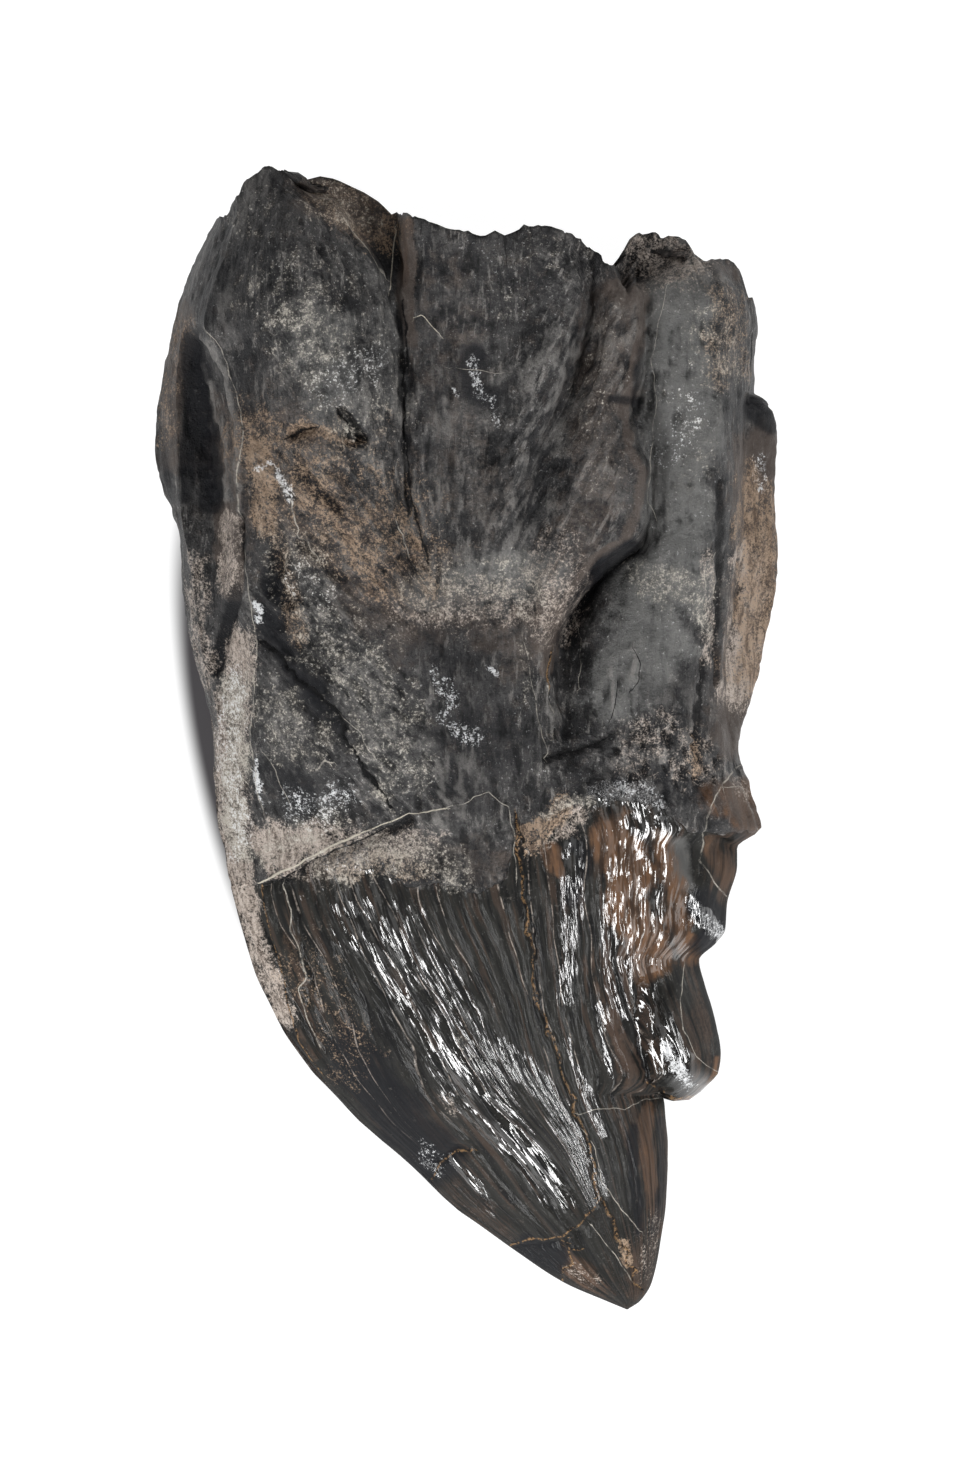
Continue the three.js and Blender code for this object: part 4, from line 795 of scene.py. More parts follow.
# Cracks that are drawn as lines and cut as scars.
DIAGONAL_CRACK: Points = (
    (-14.1, 6.7), (-12.5, 5), (-10.8, 3.3), (-8.8, 1.6), (-8.3, -0.4), (-7.2, -1.8), (-6.1, -3.4),
    (-5.2, -4.6),
)
LOBE_CRACK: Points = ((5.6, -1.3), (7.2, -0.8), (9, -0.4), (9.9, 0.3))
LINES: tuple[Line, ...] = (
    Line("suture", PALE, 0.085, ((-14.1, -9.8), (-12.6, -9.1), (-9.8, -7.6), (-7.4, -6.5)), 0.12),
    Line("suture's thin part", PALE, 0.05, ((-7.4, -6.5), (-4, -5.2), (-1.5, -4.8)), 0.12),
    Line("suture's faint part", FAINT, 0.05,
        ((-1.5, -4.8), (0.2, -4.2), (1.5, -3.6), (2.7, -4.7), (3.2, -6.7), (3.3, -9.7)), 0.2),
    Line("gap under the suture", DARK, 0.09, ((-12.7, -9.6), (-9.7, -7.9), (-7.2, -6.9), (-4.6, -5.7)), 0.1),
    Line("central crack", RUSTY, 0.17,
        ((3.3, -5.2), (3.7, -9.7), (4.3, -13.8), (5, -18.6), (6.3, -22), (7.7, -26.1), (9.1, -31.6),
         (10.8, -35), (11.8, -37.8)), 0.4),
    Line("dark of the central crack", DARK, 0.12,
        ((3.5, -6.3), (4.3, -11.1), (4.7, -15.2), (5.2, -19.3)), 0.4),
    Line("left enamel crack", FAINT, 0.06,
        ((-12.7, -9.9), (-12, -11.8), (-12.1, -13), (-11, -16.2), (-11.5, -17.2), (-11, -19.4),
         (-10, -21.4)), 0.12),
    Line("transverse crack", FAINT, 0.04,
        ((7.7, -25.8), (8.6, -25.4), (10.7, -25.4), (12.2, -24.7), (13.2, -24.7))),
    Line("chip's upper edge", RUSTY, 0.08, ((-2.4, -30.1), (-1.9, -29.2), (-0.8, -28.3), (0.3, -28.3)), 0.12),
    Line("chip's lower edge", RUSTY, 0.1,
        ((3, -34.6), (5, -34.1), (6.1, -34.2), (7.7, -33.3), (9.1, -31.7)), 0.25),
    Line("dentine's edge", RUSTY, 0.1, ((6.6, -37.8), (6.5, -36.3), (7.3, -36), (6.9, -35), (7.6, -35))),
    Line("enamel's left margin", RUSTY, 0.07,
        ((-14.1, -10), (-13.5, -13.1), (-12.6, -16.9), (-11.5, -20.7), (-9.8, -23.1))),
    Line("thin line to the tip", FAINT, 0.04, ((8.4, -33.3), (9.8, -35), (11.3, -37.2)), 0.1),
    Line("thin line right of the crack", FAINT, 0.04,
        ((7.8, -26.8), (8.8, -28.2), (9.1, -30.2), (10.6, -32.3), (11.8, -33.7))),
    Line("diagonal crack", DARK, 0.17, DIAGONAL_CRACK, 0.35),
    Line("pale lip of the diagonal crack", FAINT, 0.04, ((-8.6, 1.4), (-6.8, -0.4), (-6.3, -1.3)), 0.3),
    Line("pale curl", FAINT, 0.08, ((-10.2, -2), (-9.8, -1.5), (-9.3, -1.7)), 0.1),
    Line("pale vein beside the strip", FAINT, 0.05, ((-14.8, -0.8), (-14.4, -3.5), (-14.1, -5))),
    Line("vein in the dark fill", FAINT, 0.04, ((-13.9, -1.1), (-13.2, -2.2), (-12.2, -4.6)), 0.12),
    Line("lobe's lit left edge", FAINT, 0.04,
        ((-18, 28.3), (-16.8, 26.5), (-15.9, 23.9), (-15.4, 21.1), (-15.6, 17.7), (-15.5, 13.6),
         (-14.9, 9.5), (-14.4, 6.7), (-14.7, 2.6), (-14.9, -0.8)), 0.12),
    Line("streak in the band", FAINT, 0.05, ((-13, 17.7), (-12, 16), (-11.5, 13.9), (-10.1, 11.9)), 0.25),
    # painted highlights along the window's lit rim and bright right side
    Line("window's lit rim", FAINT, 0.04, ((-8.7, 35.9), (-7.7, 34.7), (-6.7, 33.3), (-5.6, 31.5)), 0.06),
    Line("window's bright right side", PALE, 0.045, ((-4.9, 34.8), (-5.1, 33.5), (-5.3, 30.7)), 0.05),
    Line("thread on the middle lobe", PALE, 0.03, ((-3.5, 28.8), (-3, 28.9), (-2.6, 28.5), (-1.9, 27.8))),
    Line("second thread", FAINT, 0.03, ((-1.1, 25.4), (0.9, 25.2), (2.2, 25)), 0.1),
    Line("left furrow", DARK, 0.12,
        ((-4.3, 30), (-4.3, 24.6), (-4.2, 19.8), (-3.7, 15.7), (-2.7, 12.2)), 0.2),
    Line("slit by the ochre corner", DARK, 0.15, ((-12.4, 20.6), (-11.5, 21.1), (-10.6, 21.3)), 0.1),
    Line("pit cluster", DARK, 0.17, ((-8.7, 22.4), (-7.9, 21.5), (-8.1, 20.7), (-7.3, 20.4)), 0.12),
    Line("pale foot of the furrow", FAINT, 0.04, ((-4.9, 15), (-3.8, 12.2), (-2.6, 10.2))),
    Line("hairline on the right lobe", FAINT, 0.03,
        ((13.7, 31.1), (13, 28), (12.6, 25.9), (12.9, 23.2), (12.6, 19.8), (12.4, 16.3), (12.8, 15)), 0.12),
    Line("line at the slab", FAINT, 0.06, ((17, 12.6), (16.3, 11.5), (16.2, 9.5), (15.4, 8.7), (16.2, 7.6))),
    Line("crack on the right lobe", DARK, 0.1, LOBE_CRACK, 0.2),
    Line("thread below the plate", FAINT, 0.05, ((5.3, 3.6), (5.7, 2), (5.8, 0.2)), 0.1),
    Line("rust at the plate's foot", RUSTY, 0.1, ((5.8, 6.1), (5.4, 4.3), (5.4, 3.3)), 0.1),
    Line("pale line under the plate", FAINT, 0.02, ((7.2, 8.7), (7.8, 6.7), (7.6, 3.3)), 0.1),
    Line("line at the neck's middle", FAINT, 0.04, ((3.9, 6.7), (4.4, 4), (5, 0.6), (5.6, -1.3))),
    Line("first blister", DARK, 0.045, ((11.4, 6.1), (11.9, 5.1), (11.7, 3.9), (11.3, 3.3)), 0.1),
    Line("second blister", DARK, 0.045, ((10.3, 4), (10.2, 2.6), (9.8, 1.3)), 0.1),
    Line("horn's lit edge", FAINT, 0.05, ((17.6, -3.3), (18.8, -3.3), (19.4, -5), (20, -6.4)), 0.08),
    Line("pale line by the horn", FAINT, 0.07,
        ((18.4, -2), (17.4, -3.2), (16.7, -4.6), (16.3, -6.3), (15.9, -8.3), (17, -10), (17.6, -10.8)), 0.12),
    Line("hook's keel", FAINT, 0.04,
        ((14.8, -15.5), (14.6, -17.9), (14.8, -20), (15.7, -21.9), (17, -22.8)), 0.1),
    Line("hook's lower edge", RUSTY, 0.1, ((12.5, -23.9), (14, -24.8), (15.9, -24.4), (17.2, -22.8)), 0.08),
    Line("fold above the hook", DARK, 0.16,
        ((13.5, -24.6), (12.5, -23.7), (12.1, -21.7), (11.8, -19.3), (11.8, -16.9))),
)
SCARS: tuple[Scar, ...] = (
    Scar("suture", 0.45, 0.34,
        ((-13.8, -10.2), (-12.4, -9.6), (-9.7, -8.1), (-7.2, -7.1), (-3.9, -5.7)), 0.12),
    Scar("central crack", 0.26, 0.32,
        ((3.3, -5.2), (3.9, -9.7), (4.3, -13.8), (5, -18.6), (6.3, -22), (7.7, -26.1), (9.1, -31.6),
         (10.8, -35), (11.8, -37.8)), 0.3),
    Scar("left enamel crack", 0.22, 0.28,
        ((-12.4, -9.9), (-11.6, -11.8), (-11.7, -13), (-10.7, -16.2), (-11.1, -17.2), (-10.7, -19.4),
         (-9.7, -21.4))),
    Scar("diagonal crack", 0.32, 0.24, DIAGONAL_CRACK, 0.35),
    Scar("dent above the diagonal crack", 0.2, 1.6, ((-13.5, 7.8), (-12.2, 5.7), (-10.1, 3.3)), 0.4),
    Scar("crack on the right lobe", 0.4, 0.35, LOBE_CRACK),
    Scar("thread below the plate", -0.2, 0.22, ((5.3, 3.6), (5.7, 0.4))),
    Scar("thread on the middle lobe", -0.14, 0.16, ((-3.5, 28.8), (-2.6, 28.5), (-1.9, 27.7))),
    Scar("first blister", -0.22, 0.3, ((11.4, 6.1), (11.4, 3.7))),
    Scar("second blister", -0.22, 0.34, ((10, 4.7), (10, 1.6))),
    Scar("slit by the ochre corner", 0.7, 0.45, ((-12.2, 20.7), (-11.5, 21.1), (-10.7, 21.3))),
    Scar("pit cluster", 0.8, 0.42, ((-8.6, 22.4), (-8, 21.7), (-7.2, 20.6))),
    Scar("pit beside the cluster", 0.6, 0.35, ((-8.4, 20.9), (-8, 20), (-7.2, 20.7))),
    Scar("slit near the broken rim", 0.3, 0.26, ((-9.9, 34.4), (-10.1, 33.1)), 0.1),
    Scar("first streak of the band", 0.5, 0.55, ((-11.7, 18.5), (-10.2, 17), (-8.7, 15.7)), 0.3),
    Scar("second streak of the band", 0.4, 0.5, ((-11.5, 13.3), (-10, 12.2), (-8.4, 10.9)), 0.3),
    Scar("black pits of the band", 0.5, 0.8, ((-13, 12.2), (-13.3, 10.2), (-12.2, 9.5)), 0.5),
    Scar("raised corner of the lobe", -0.3, 0.7, ((-14.4, 19.4), (-13.9, 18.4), (-12.5, 17.7)), 0.4),
    Scar("chip's step", 0.35, 0.4, ((-2.6, -30.2), (-2, -29), (-0.8, -28.1), (0.3, -28.1)), 0.1),
    Scar("chip's lower edge", 0.28, 0.35, ((3, -35), (6.1, -34.6), (8, -33.7), (9.5, -32)), 0.15),
    Scar("navy spot", 0.25, 1, ((4.1, -35.2), (6.1, -36)), 0.2),
    Scar("fold above the hook", 0.6, 0.5,
        ((13.5, -24.6), (12.5, -23.7), (12.1, -21.7), (11.8, -19.3), (12, -16.9)), 0.15),
    Scar("horn's crease", -0.3, 0.32, ((18.5, -3.4), (19.2, -4.8), (19.8, -6.3)), 0.1),
    Scar("horn's notch", 0.4, 0.4, ((18.5, -7.4), (17.4, -7.1), (16.3, -6.7)), 0.2),
    Scar("lump on the central crack", -0.35, 0.5, ((10.7, -34.8), (11, -35.9)), 0.1),
    Scar("flank's first fibre", -0.3, 0.3, ((-18, 27.6), (-16.5, 24.9), (-15.7, 21.1), (-15.6, 15)), 0.2),
    Scar("flank's second fibre", -0.22, 0.28,
        ((-18.2, 25.6), (-17.1, 23.2), (-16.5, 19.8), (-16.4, 16.3)), 0.2),
    Scar("flank's third fibre", -0.18, 0.25, ((-18.6, 23.9), (-17.6, 21.1), (-17.4, 17)), 0.2),
    Scar("flank's groove", 0.25, 0.5, ((-18.7, 27), (-18, 21.8), (-17.6, 16.3)), 0.3),
    Scar("step under the flank's facet", 0.5, 0.6,
        ((-15.6, 15), (-15.6, 10.9), (-16, 9.5), (-17.2, 4.8)), 0.15),
    Scar("slits of the right column's foot", 0.4, 0.3, ((16.1, 5.4), (15.9, 2), (15.7, -1.5))),
    Scar("groove by the slab", 0.35, 0.3, ((17.4, 17.7), (17.3, 12.2), (17, 6.7), (17.4, 1.3)), 0.2),
)
# Enamel worn smooth: its path, how far it is quite smooth and where the wrinkles are back.
SMOOTH_PATCHES: tuple[tuple[Points, float, float], ...] = (
    (((-7.9, -22), (-5.3, -25.1), (-2.3, -28.7)), 1.4, 3),
    (((14.3, -7.3), (14.8, -10.4)), 0.8, 1.6),
)
POROUS_PATCH: Points = ((11.8, -1.8), (13.5, 0.2), (15.9, -2.2))
CRUMPLED_CERVIX: Points = ((9.4, -3.9), (11.5, -3.1), (13.5, -4.3))
# Where marked ridges of the enamel run: label, then share of the crown's width at stations.
FLOW: tuple[tuple[float, Points], ...] = (
    (0, ((-8, 0), (-39, 0))),
    (0.15, ((-8, 0.145), (-11, 0.145), (-19, 0.2), (-29, 0.17), (-39, 0.15))),
    (0.32, ((-8, 0.31), (-14.6, 0.366), (-20.2, 0.455), (-26, 0.54), (-31.6, 0.62), (-39, 0.68))),
    (0.52, ((-8, 0.505), (-11, 0.519), (-15.1, 0.57), (-21.7, 0.63), (-26, 0.67), (-31.6, 0.69),
            (-39, 0.74))),
    (0.6, ((-5, 0.58), (-13.8, 0.63), (-18.6, 0.655), (-22, 0.7), (-26, 0.72), (-31.6, 0.73), (-39, 0.78))),
    (0.77, ((-5, 0.76), (-11, 0.775), (-15.2, 0.795), (-17.9, 0.813), (-20.6, 0.841), (-23.4, 0.869),
            (-26.1, 0.877), (-31.6, 0.9), (-39, 0.92))),
    (1, ((-5, 1), (-39, 1))),
)


# ---- the tooth's form


@dataclass
class ToothSkin:
    """The tooth's surface as a closed grid of points, in plan millimetres."""

    body_rows: int = 300
    cap_rows: int = 24
    cap_centre: tuple[float, float] = (1.0, 9.5)  # x and z of the broken end's middle
    cap_dish: float = 2.6
    points: Array = field(init=False)
    share: Array = field(init=False)
    rise: Array = field(init=False)
    enamel: Array = field(init=False)
    tones: dict[Tone, Array] = field(init=False)
    upper: Array = field(init=False)
    fade: Array = field(init=False)
    cap: Array = field(init=False)
    label: Array = field(init=False)
    beside: dict[Vein, Array] = field(init=False)
    away: dict[Vein, Array] = field(init=False)
    masks: dict[str, Array] = field(default_factory=dict)  # what else the materials need, by name

    def __post_init__(self) -> None:
        """Lays out the grid, then shapes it and works out its stains."""
        self.rails = [*UPPER_RAILS, RIGHT_RAIL, *LOWER_RAILS]
        self.right = len(UPPER_RAILS)
        self.place = np.concatenate([k + np.arange(r.steps) / r.steps for k, r in enumerate(self.rails)])
        self.left_edge, self.right_edge = Track(LEFT_EDGE), Track(RIGHT_EDGE)
        self.body_edge, self.broken_end = Track(BODY_EDGE), Track(BROKEN_END)
        self._shape()
        self.plan = self._plan()
        u, v = self.plan
        self.drift = tuple(Grain(39).rough(u * 0.8, v * 0.8, layer, 2) for layer in (1, 9))
        self._flow()
        self._stain()
        self._line()
        self._scar()

    @property
    def columns(self) -> int:
        """Number of grid columns round the tooth."""
        return len(self.place)

    @property
    def rows(self) -> int:
        """Number of grid bands from the broken end's middle to the cusp."""
        return self.cap_rows + self.body_rows

    def _root_section(self, y: Array) -> tuple[Array, Array]:
        """Root section through the rails: smooth, but broken at the sharp ones.

        Args:
            y: station of every grid point.

        Returns:
            x and z of every grid point.
        """
        x, z = np.zeros_like(y), np.zeros_like(y)
        curves = [(Track(r.x), Track(r.z)) for r in self.rails]
        count = len(self.rails)
        whole = np.floor(self.place).astype(int)
        for k in range(count):
            cols = np.flatnonzero(whole == k)
            t = (self.place[cols] - k)[None, :]
            at = y[:, cols]
            spots = [np.stack([c(at) for c in curves[(k + step) % count]], -1) for step in (-1, 0, 1, 2)]
            chords = [b - a for a, b in zip(spots, spots[1:])]
            sizes = [np.maximum(np.linalg.norm(c, axis=-1, keepdims=True), 0.05) for c in chords]
            ways = [c / s for c, s in zip(chords, sizes)]

            def tangent(i: int, sharp: bool) -> Array:
                """Direction at the joint of chords i and i + 1, along the middle chord at a sharp rail."""
                smooth = (ways[i] * sizes[i + 1] + ways[i + 1] * sizes[i]) / (sizes[i] + sizes[i + 1])
                return ways[1] if sharp else smooth

            leave = tangent(0, self.rails[k].sharp) * sizes[1]
            arrive = tangent(1, self.rails[(k + 1) % count].sharp) * sizes[1]
            section = curve(spots[1], leave, spots[2], arrive, t[..., None])
            x[:, cols], z[:, cols] = section[..., 0], section[..., 1]
        return x, z

    def _crown_section(self, y: Array, share: Array, upper: Array) -> tuple[Array, Array]:
        """Lens-shaped crown section, with the denticles drawn out of its right edge.

        Args:
            y: station of every grid point.
            share: share of the crown's width where each one lies.
            upper: whether it is on the upper face.

        Returns:
            x and z of every grid point.
        """
        crest = Track(CREST_SHARE)(y)
        off = np.where(share < crest, 1 - share / crest, (share - crest) / (1 - crest))
        fullness = np.where(share < crest, 1.6, 2.1)
        arch = (1 - np.minimum(off, 1) ** fullness) ** 0.85
        denticle = (self.right_edge(y) - self.body_edge(y)) * ease(share, DENTICLE_FROM, 1)
        x = self.left_edge(y) + (self.body_edge(y) - self.left_edge(y)) * share + denticle
        z = Track(EDGE_HEIGHT)(y) + np.where(upper, Track(UPPER_RISE)(y), -Track(LOWER_SAG)(y)) * arch
        return x, z

    def _swell(self, x: Array, y: Array, z: Array) -> Array:
        """Low swells of the root's surface."""
        broad = 0.16 * np.sin(0.55 * x + 0.31 * y + 1.3) * np.sin(0.23 * y - 0.4 * z)
        return broad + 0.12 * np.sin(1.1 * x - 0.17 * y) * np.sin(0.9 * z + 0.6 * y)

    def _shape(self) -> None:
        """Works out every grid point of the whole tooth, without its fine relief."""
        crown = np.array([r.crown for r in self.rails] + [0.0])
        whole = np.floor(self.place).astype(int)
        share = crown[whole] + (crown[whole + 1] - crown[whole]) * (self.place - whole)
        stations = np.linspace(ROOT_END_Y, CUSP_Y, self.body_rows + 1)
        y0 = np.repeat(stations[:, None], self.columns, axis=1)
        share = np.broadcast_to(share, y0.shape)
        upper = np.broadcast_to(self.place <= self.right, y0.shape)
        root_share = ease(y0, NECK_BOTTOM_Y, NECK_TOP_Y)
        jag = 1 - ease(ROOT_END_Y - y0, 0, JAG_REACH)
        y, ragged = y0, Grain(3)
        for _ in range(3):
            root_x, root_z = self._root_section(y)
            crown_x, crown_z = self._crown_section(y, share, upper)
            x = crown_x + (root_x - crown_x) * root_share
            z = crown_z + (root_z - crown_z) * root_share
            snap = self.broken_end(x) + 0.28 * ragged.rough(x * 1.1, z * 1.1, 0.5, 3) * ease(y0, 27, 33)
            y = y0 + (snap - ROOT_END_Y) * jag
        y = y - Track(HOOK_DROP)(y0) * ease(share, HOOK_FROM, 1)
        fade = np.minimum(1, (y0 - CUSP_Y) / 7)
        bite = 0.35 * Grain(5).rough(x * 0.9, y * 0.9, 0.0, 3)
        cervix = Track(CERVIX)(x)
        self.enamel = 1 - ease(y + bite, cervix - 0.35, cervix + 0.05)
        side = np.where(upper, 1.0, -1.0)
        z = z - side * CEMENT_LIP * self.enamel * fade + self._swell(x, y, z) * root_share
        self.share, self.upper, self.fade = share, upper, fade
        self.rise = z - Track(EDGE_HEIGHT)(y)
        for fold in FOLDS:
            near = nearness(fold.path, (x, y), 0, fold.reach)
            z = z + fold.height * near * np.clip(self.rise / 2, 0, 1)
        for broken in BREAKS:
            inside = ease(depth_inside(broken.outline, (x, y)), 0, broken.wall)
            z = z - np.where(self.rise > 0, inside * np.maximum(0, z - broken.floor), 0)
        self.points = np.stack([x, y, z], axis=-1)
        self._close_end()

    def _close_end(self) -> None:
        """Adds the rings of the broken end in front of the first station."""
        rim = self.points[0]
        shares = np.arange(self.cap_rows)[:, None] / self.cap_rows
        x = self.cap_centre[0] + (rim[None, :, 0] - self.cap_centre[0]) * shares
        z = self.cap_centre[1] + (rim[None, :, 2] - self.cap_centre[1]) * shares
        rough = Grain(9).rough(x * 0.5, z * 0.5, 0, 4) * 0.9 * (1 - shares**4)
        y = self.broken_end(x) - self.cap_dish * (1 - shares**2) - rough
        y = y + (rim[None, :, 1] - self.broken_end(x[-1:])) * shares**3
        y[0], z[0], x[0] = y[0].mean(), z[0, 0], x[0, 0]
        self.points = np.concatenate([np.stack([x, y, z], -1), self.points])
        for name in ("share", "upper", "fade", "rise", "enamel"):
            value = getattr(self, name)
            setattr(self, name, np.concatenate([np.repeat(value[:1], self.cap_rows, 0), value]))
        self.cap = np.zeros(self.points.shape[:2])
        self.cap[: self.cap_rows] = 1 - ease(shares, 0.86, 1.0)

    def _outward(self) -> Array:
        """Unit normals of the grid.

        Returns:
            A normal that points out of the tooth at every grid point.
        """
        p = self.points
        along = np.gradient(p, axis=0)
        around = np.roll(p, -1, axis=1) - np.roll(p, 1, axis=1)
        normal = np.cross(along, around)
        normal /= np.maximum(np.linalg.norm(normal, axis=-1, keepdims=True), 1e-9)
        middle = p.mean(axis=1, keepdims=True)
        return -normal if np.sum(normal * (p - middle)) < 0 else normal

    def _plan(self) -> Plan:
        """Plan position of the grid as it appears from high above.

        Returns:
            X and Y of every grid point.
        """
        x, y, z = (self.points[..., k] for k in range(3))
        k = (CAMERA_HEIGHT - PLAN_HEIGHT) / (CAMERA_HEIGHT - z)
        return (x - VIEW_CENTRE[0]) * k + VIEW_CENTRE[0], (y - VIEW_CENTRE[1]) * k + VIEW_CENTRE[1]

    def _ridges(self) -> Array:
        """Wrinkled enamel: rods that run to the cusp, fork and join.

        Returns:
            Its height in millimetres.
        """
        label, fine, rods, v = self.label, Grain(22), Grain(21), self.plan[1]
        rod = label * RIDGES_ACROSS + 0.6 * rods(label * 7, v * 0.1) + 0.22 * rods(label * 25, v * 0.35, 5)
        wrinkle = label * WRINKLES_ACROSS + 0.9 * fine(label * 18, v * 0.3)
        wrinkle = wrinkle + 0.4 * fine(label * WRINKLES_ACROSS, v * 0.9, 3)
        gap = np.linalg.norm(np.roll(self.points, -1, axis=1) - np.roll(self.points, 1, axis=1), axis=-1)

        def spread(phase: Array) -> Array:
            """Width in millimetres of one wrinkle; phase grows by one per wrinkle."""
            turn = np.abs(np.roll(phase, -1, axis=1) - np.roll(phase, 1, axis=1))
            return gap / np.maximum(turn, 1e-3)

        thread = ease(spread(rod), 0.5, 1.1) * ease(v, -30, -20)
        narrow = 1 - ease(spread(label * CROWN_WIDTH), 0.25, 0.7)
        right = ease(label, 0.56, 0.66)
        strength = np.clip(0.75 + 0.7 * rods(label * 9, v * 0.08, 9), 0.15, 1.2)
        tops = np.abs(np.sin(math.pi * rod)) ** 0.7 - 0.6
        folds = np.abs(np.sin(math.pi * wrinkle)) ** 0.8 - 0.6
        glassy = self.tones[Tone.GLOSS]
        height = 0.3 * (1 - 0.4 * right) * strength * tops * ease(spread(rod), 0.35, 0.95)
        height = height + (0.025 + 0.06 * glassy + 0.09 * right) * folds * ease(spread(wrinkle), 0.34, 0.6)
        close, wide = (label * cells for cells in CRUMPLES_ACROSS)
        crumple = fine(close, v * 0.7, 11) * ease(spread(close), 0.25, 0.45)
        crumple = crumple + 0.6 * fine(wide, v * 0.42, 17) * ease(spread(wide), 0.25, 0.5)
        self.masks |= {"comb": rod, "ridge": 0.55 + height * 1.6, "thread": thread, "narrow": narrow}
        return height + 0.1 * crumple * (0.2 + glassy)

    def _flow(self) -> None:
        """Labels the enamel's ridges: where each point lies between the marked ones."""
        station = np.clip(self.points[..., 1], CUSP_Y, 0.0)
        label = np.zeros_like(self.share)
        for (low, left), (high, right) in zip(FLOW, FLOW[1:]):
            start, end = Track(left)(station), Track(right)(station)
            label = label + (high - low) * np.clip((self.share - start) / np.maximum(end - start, 0.02), 0, 1)
        self.label = np.where(self.upper > 0.5, label, self.share)

    def _scar(self) -> None:
        """Raises and cuts the fine relief along the surface's own normals."""
        normal = self._outward()
        x, y, z = (self.points[..., k] for k in range(3))
        top = np.clip(self.rise / 1.5, 0, 1) * (self.cap < 0.5)
        root = 1 - ease(self.enamel, 0.3, 0.7)
        smooth = np.maximum(*(nearness(path, self.plan, full, reach) for path, full, reach in SMOOTH_PATCHES))
        tip = 1 - 0.6 * ease(self.plan[1], -32.5, -36.5)
        denticle = ease(self.label, 0.88, 0.96) * self.upper
        height = self._ridges() * (1 - root) * np.minimum(1, self.fade * 1.6) * (1 - 0.85 * smooth) * tip
        height = height * (1 - 0.8 * denticle)
        height = height + root * 0.1 * Grain(31).rough(x * 0.28, y * 0.2, z * 0.28, 5)
        chipped = np.abs(Grain(32).rough(x * 0.8, y * 0.42, z * 0.8, 3)) - 0.2
        flank = np.clip(1 - top * 1.2, 0, 1)
        side = Grain(33).rough(x * 1.9, y * 0.22, z * 1.9, 3)
        height = height - root * (0.12 * chipped - side * (0.02 + 0.10 * flank))
        height = height + root * top * self._splinters()
        porous = nearness(POROUS_PATCH, self.plan, 0.8, 2.6)
        crumple = nearness(CRUMPLED_CERVIX, self.plan, 0.6, 1.6)
        speck = Grain(35)
        pits = ease(speck.rough(x * 1.7, y * 1.0, z * 1.7, 2), 0.15, 0.6)
        height = height - root * pits * (0.05 + 0.42 * porous * top)
        height = height + 0.3 * crumple * top * speck.rough(x * 1.4, y * 1.0, z * 1.4 + 7, 2)
        height = height + self.cap * 0.12 * Grain(37).rough(x * 1.6, y, z * 1.6, 3)
        for scar in SCARS:
            near = nearness(scar.path, self._wander(scar.wander), 0.0, scar.reach)
            height = height - scar.depth * near * top
        self.masks["proud"] = np.clip(height, -1, 1) * root
        self.points = self.points + normal * height[..., None]
        self.points[..., 2] = np.maximum(self.points[..., 2], 0)
        for end in (0, -1):
            self.points[end] = self.points[end].mean(axis=0)

    def _splinters(self) -> Array:
        """Splintered grain of the root's upper face.

        Returns:
            Its height in millimetres.
        """
        u, v = self.plan
        height, diagonal, slant = (np.zeros_like(u) for _ in range(3))
        grain = Grain(34)
        for number, fibre in enumerate(FIBRES):
            lean = math.radians(fibre.lean)
            across = u * math.cos(lean) - v * math.sin(lean)
            along = u * math.sin(lean) + v * math.cos(lean)
            sharp = 0.35 - np.abs(grain.rough(across * 1.15, along * 0.24, 3.0 * number, 3))
            near = nearness(fibre.path, self.plan, fibre.reach * 0.4, fibre.reach)
            height = height + 2.2 * fibre.depth * sharp * near
            diagonal = np.maximum(diagonal, near * (fibre.lean < -30))
            slant = np.maximum(slant, near * (fibre.lean > 20))
        self.masks |= {"diagonal": diagonal, "slant": slant}
        return height

    def _wander(self, amount: float) -> Plan:
        """Plan positions shifted by a smooth noise, so that what is drawn there isn't straight."""
        return self.plan[0] + amount * self.drift[0], self.plan[1] + amount * self.drift[1]

    def _stain(self) -> None:
        """Works out how strongly each tone shows at every point."""
        x, y, z = (self.points[..., k] for k in range(3))
        top = np.where(self.upper, 1.0, ease(np.abs(self.share - 0.5), 0.42, 0.5)) * (1 - self.cap)
        self.tones = {tone: np.zeros(x.shape) for tone in Tone}
        edges = [Grain(seed).rough(x * 0.45, y * 0.45, z * 0.45, 4) for seed in (41, 42, 44)]
        for number, stain in enumerate(STAINS):
            turns = (2.4 * number, 2.4 * number + 2.1, 2.4 * number + 4.2)
            drift = stain.ragged * 0.5 * sum(edge * math.sin(turn) for edge, turn in zip(edges, turns))
            away = distance_to_path(stain.path, self.plan) + drift
            near = 1 - ease(away, stain.reach * 0.35, stain.reach * 1.3)
            kept = self.tones[stain.tone]
            self.tones[stain.tone] = np.maximum(kept, near * stain.strength * top)
        hidden = (1 - top) * (1 - self.enamel)
        drift = Grain(43).rough(x * 0.16, y * 0.12, z * 0.16, 4)
        extra = (
            (Tone.BROWN, hidden * ease(drift, -0.1, 0.6) * 0.8),
            (Tone.TAN, hidden * ease(drift, 0.35, 0.9) * 0.5),
            (Tone.BROWN, self.cap * (0.55 + 0.4 * drift)),
            (Tone.TAN, self.cap * ease(drift, 0.0, 0.7) * 0.6),
        )
        for tone, value in extra:
            self.tones[tone] = np.maximum(self.tones[tone], value)

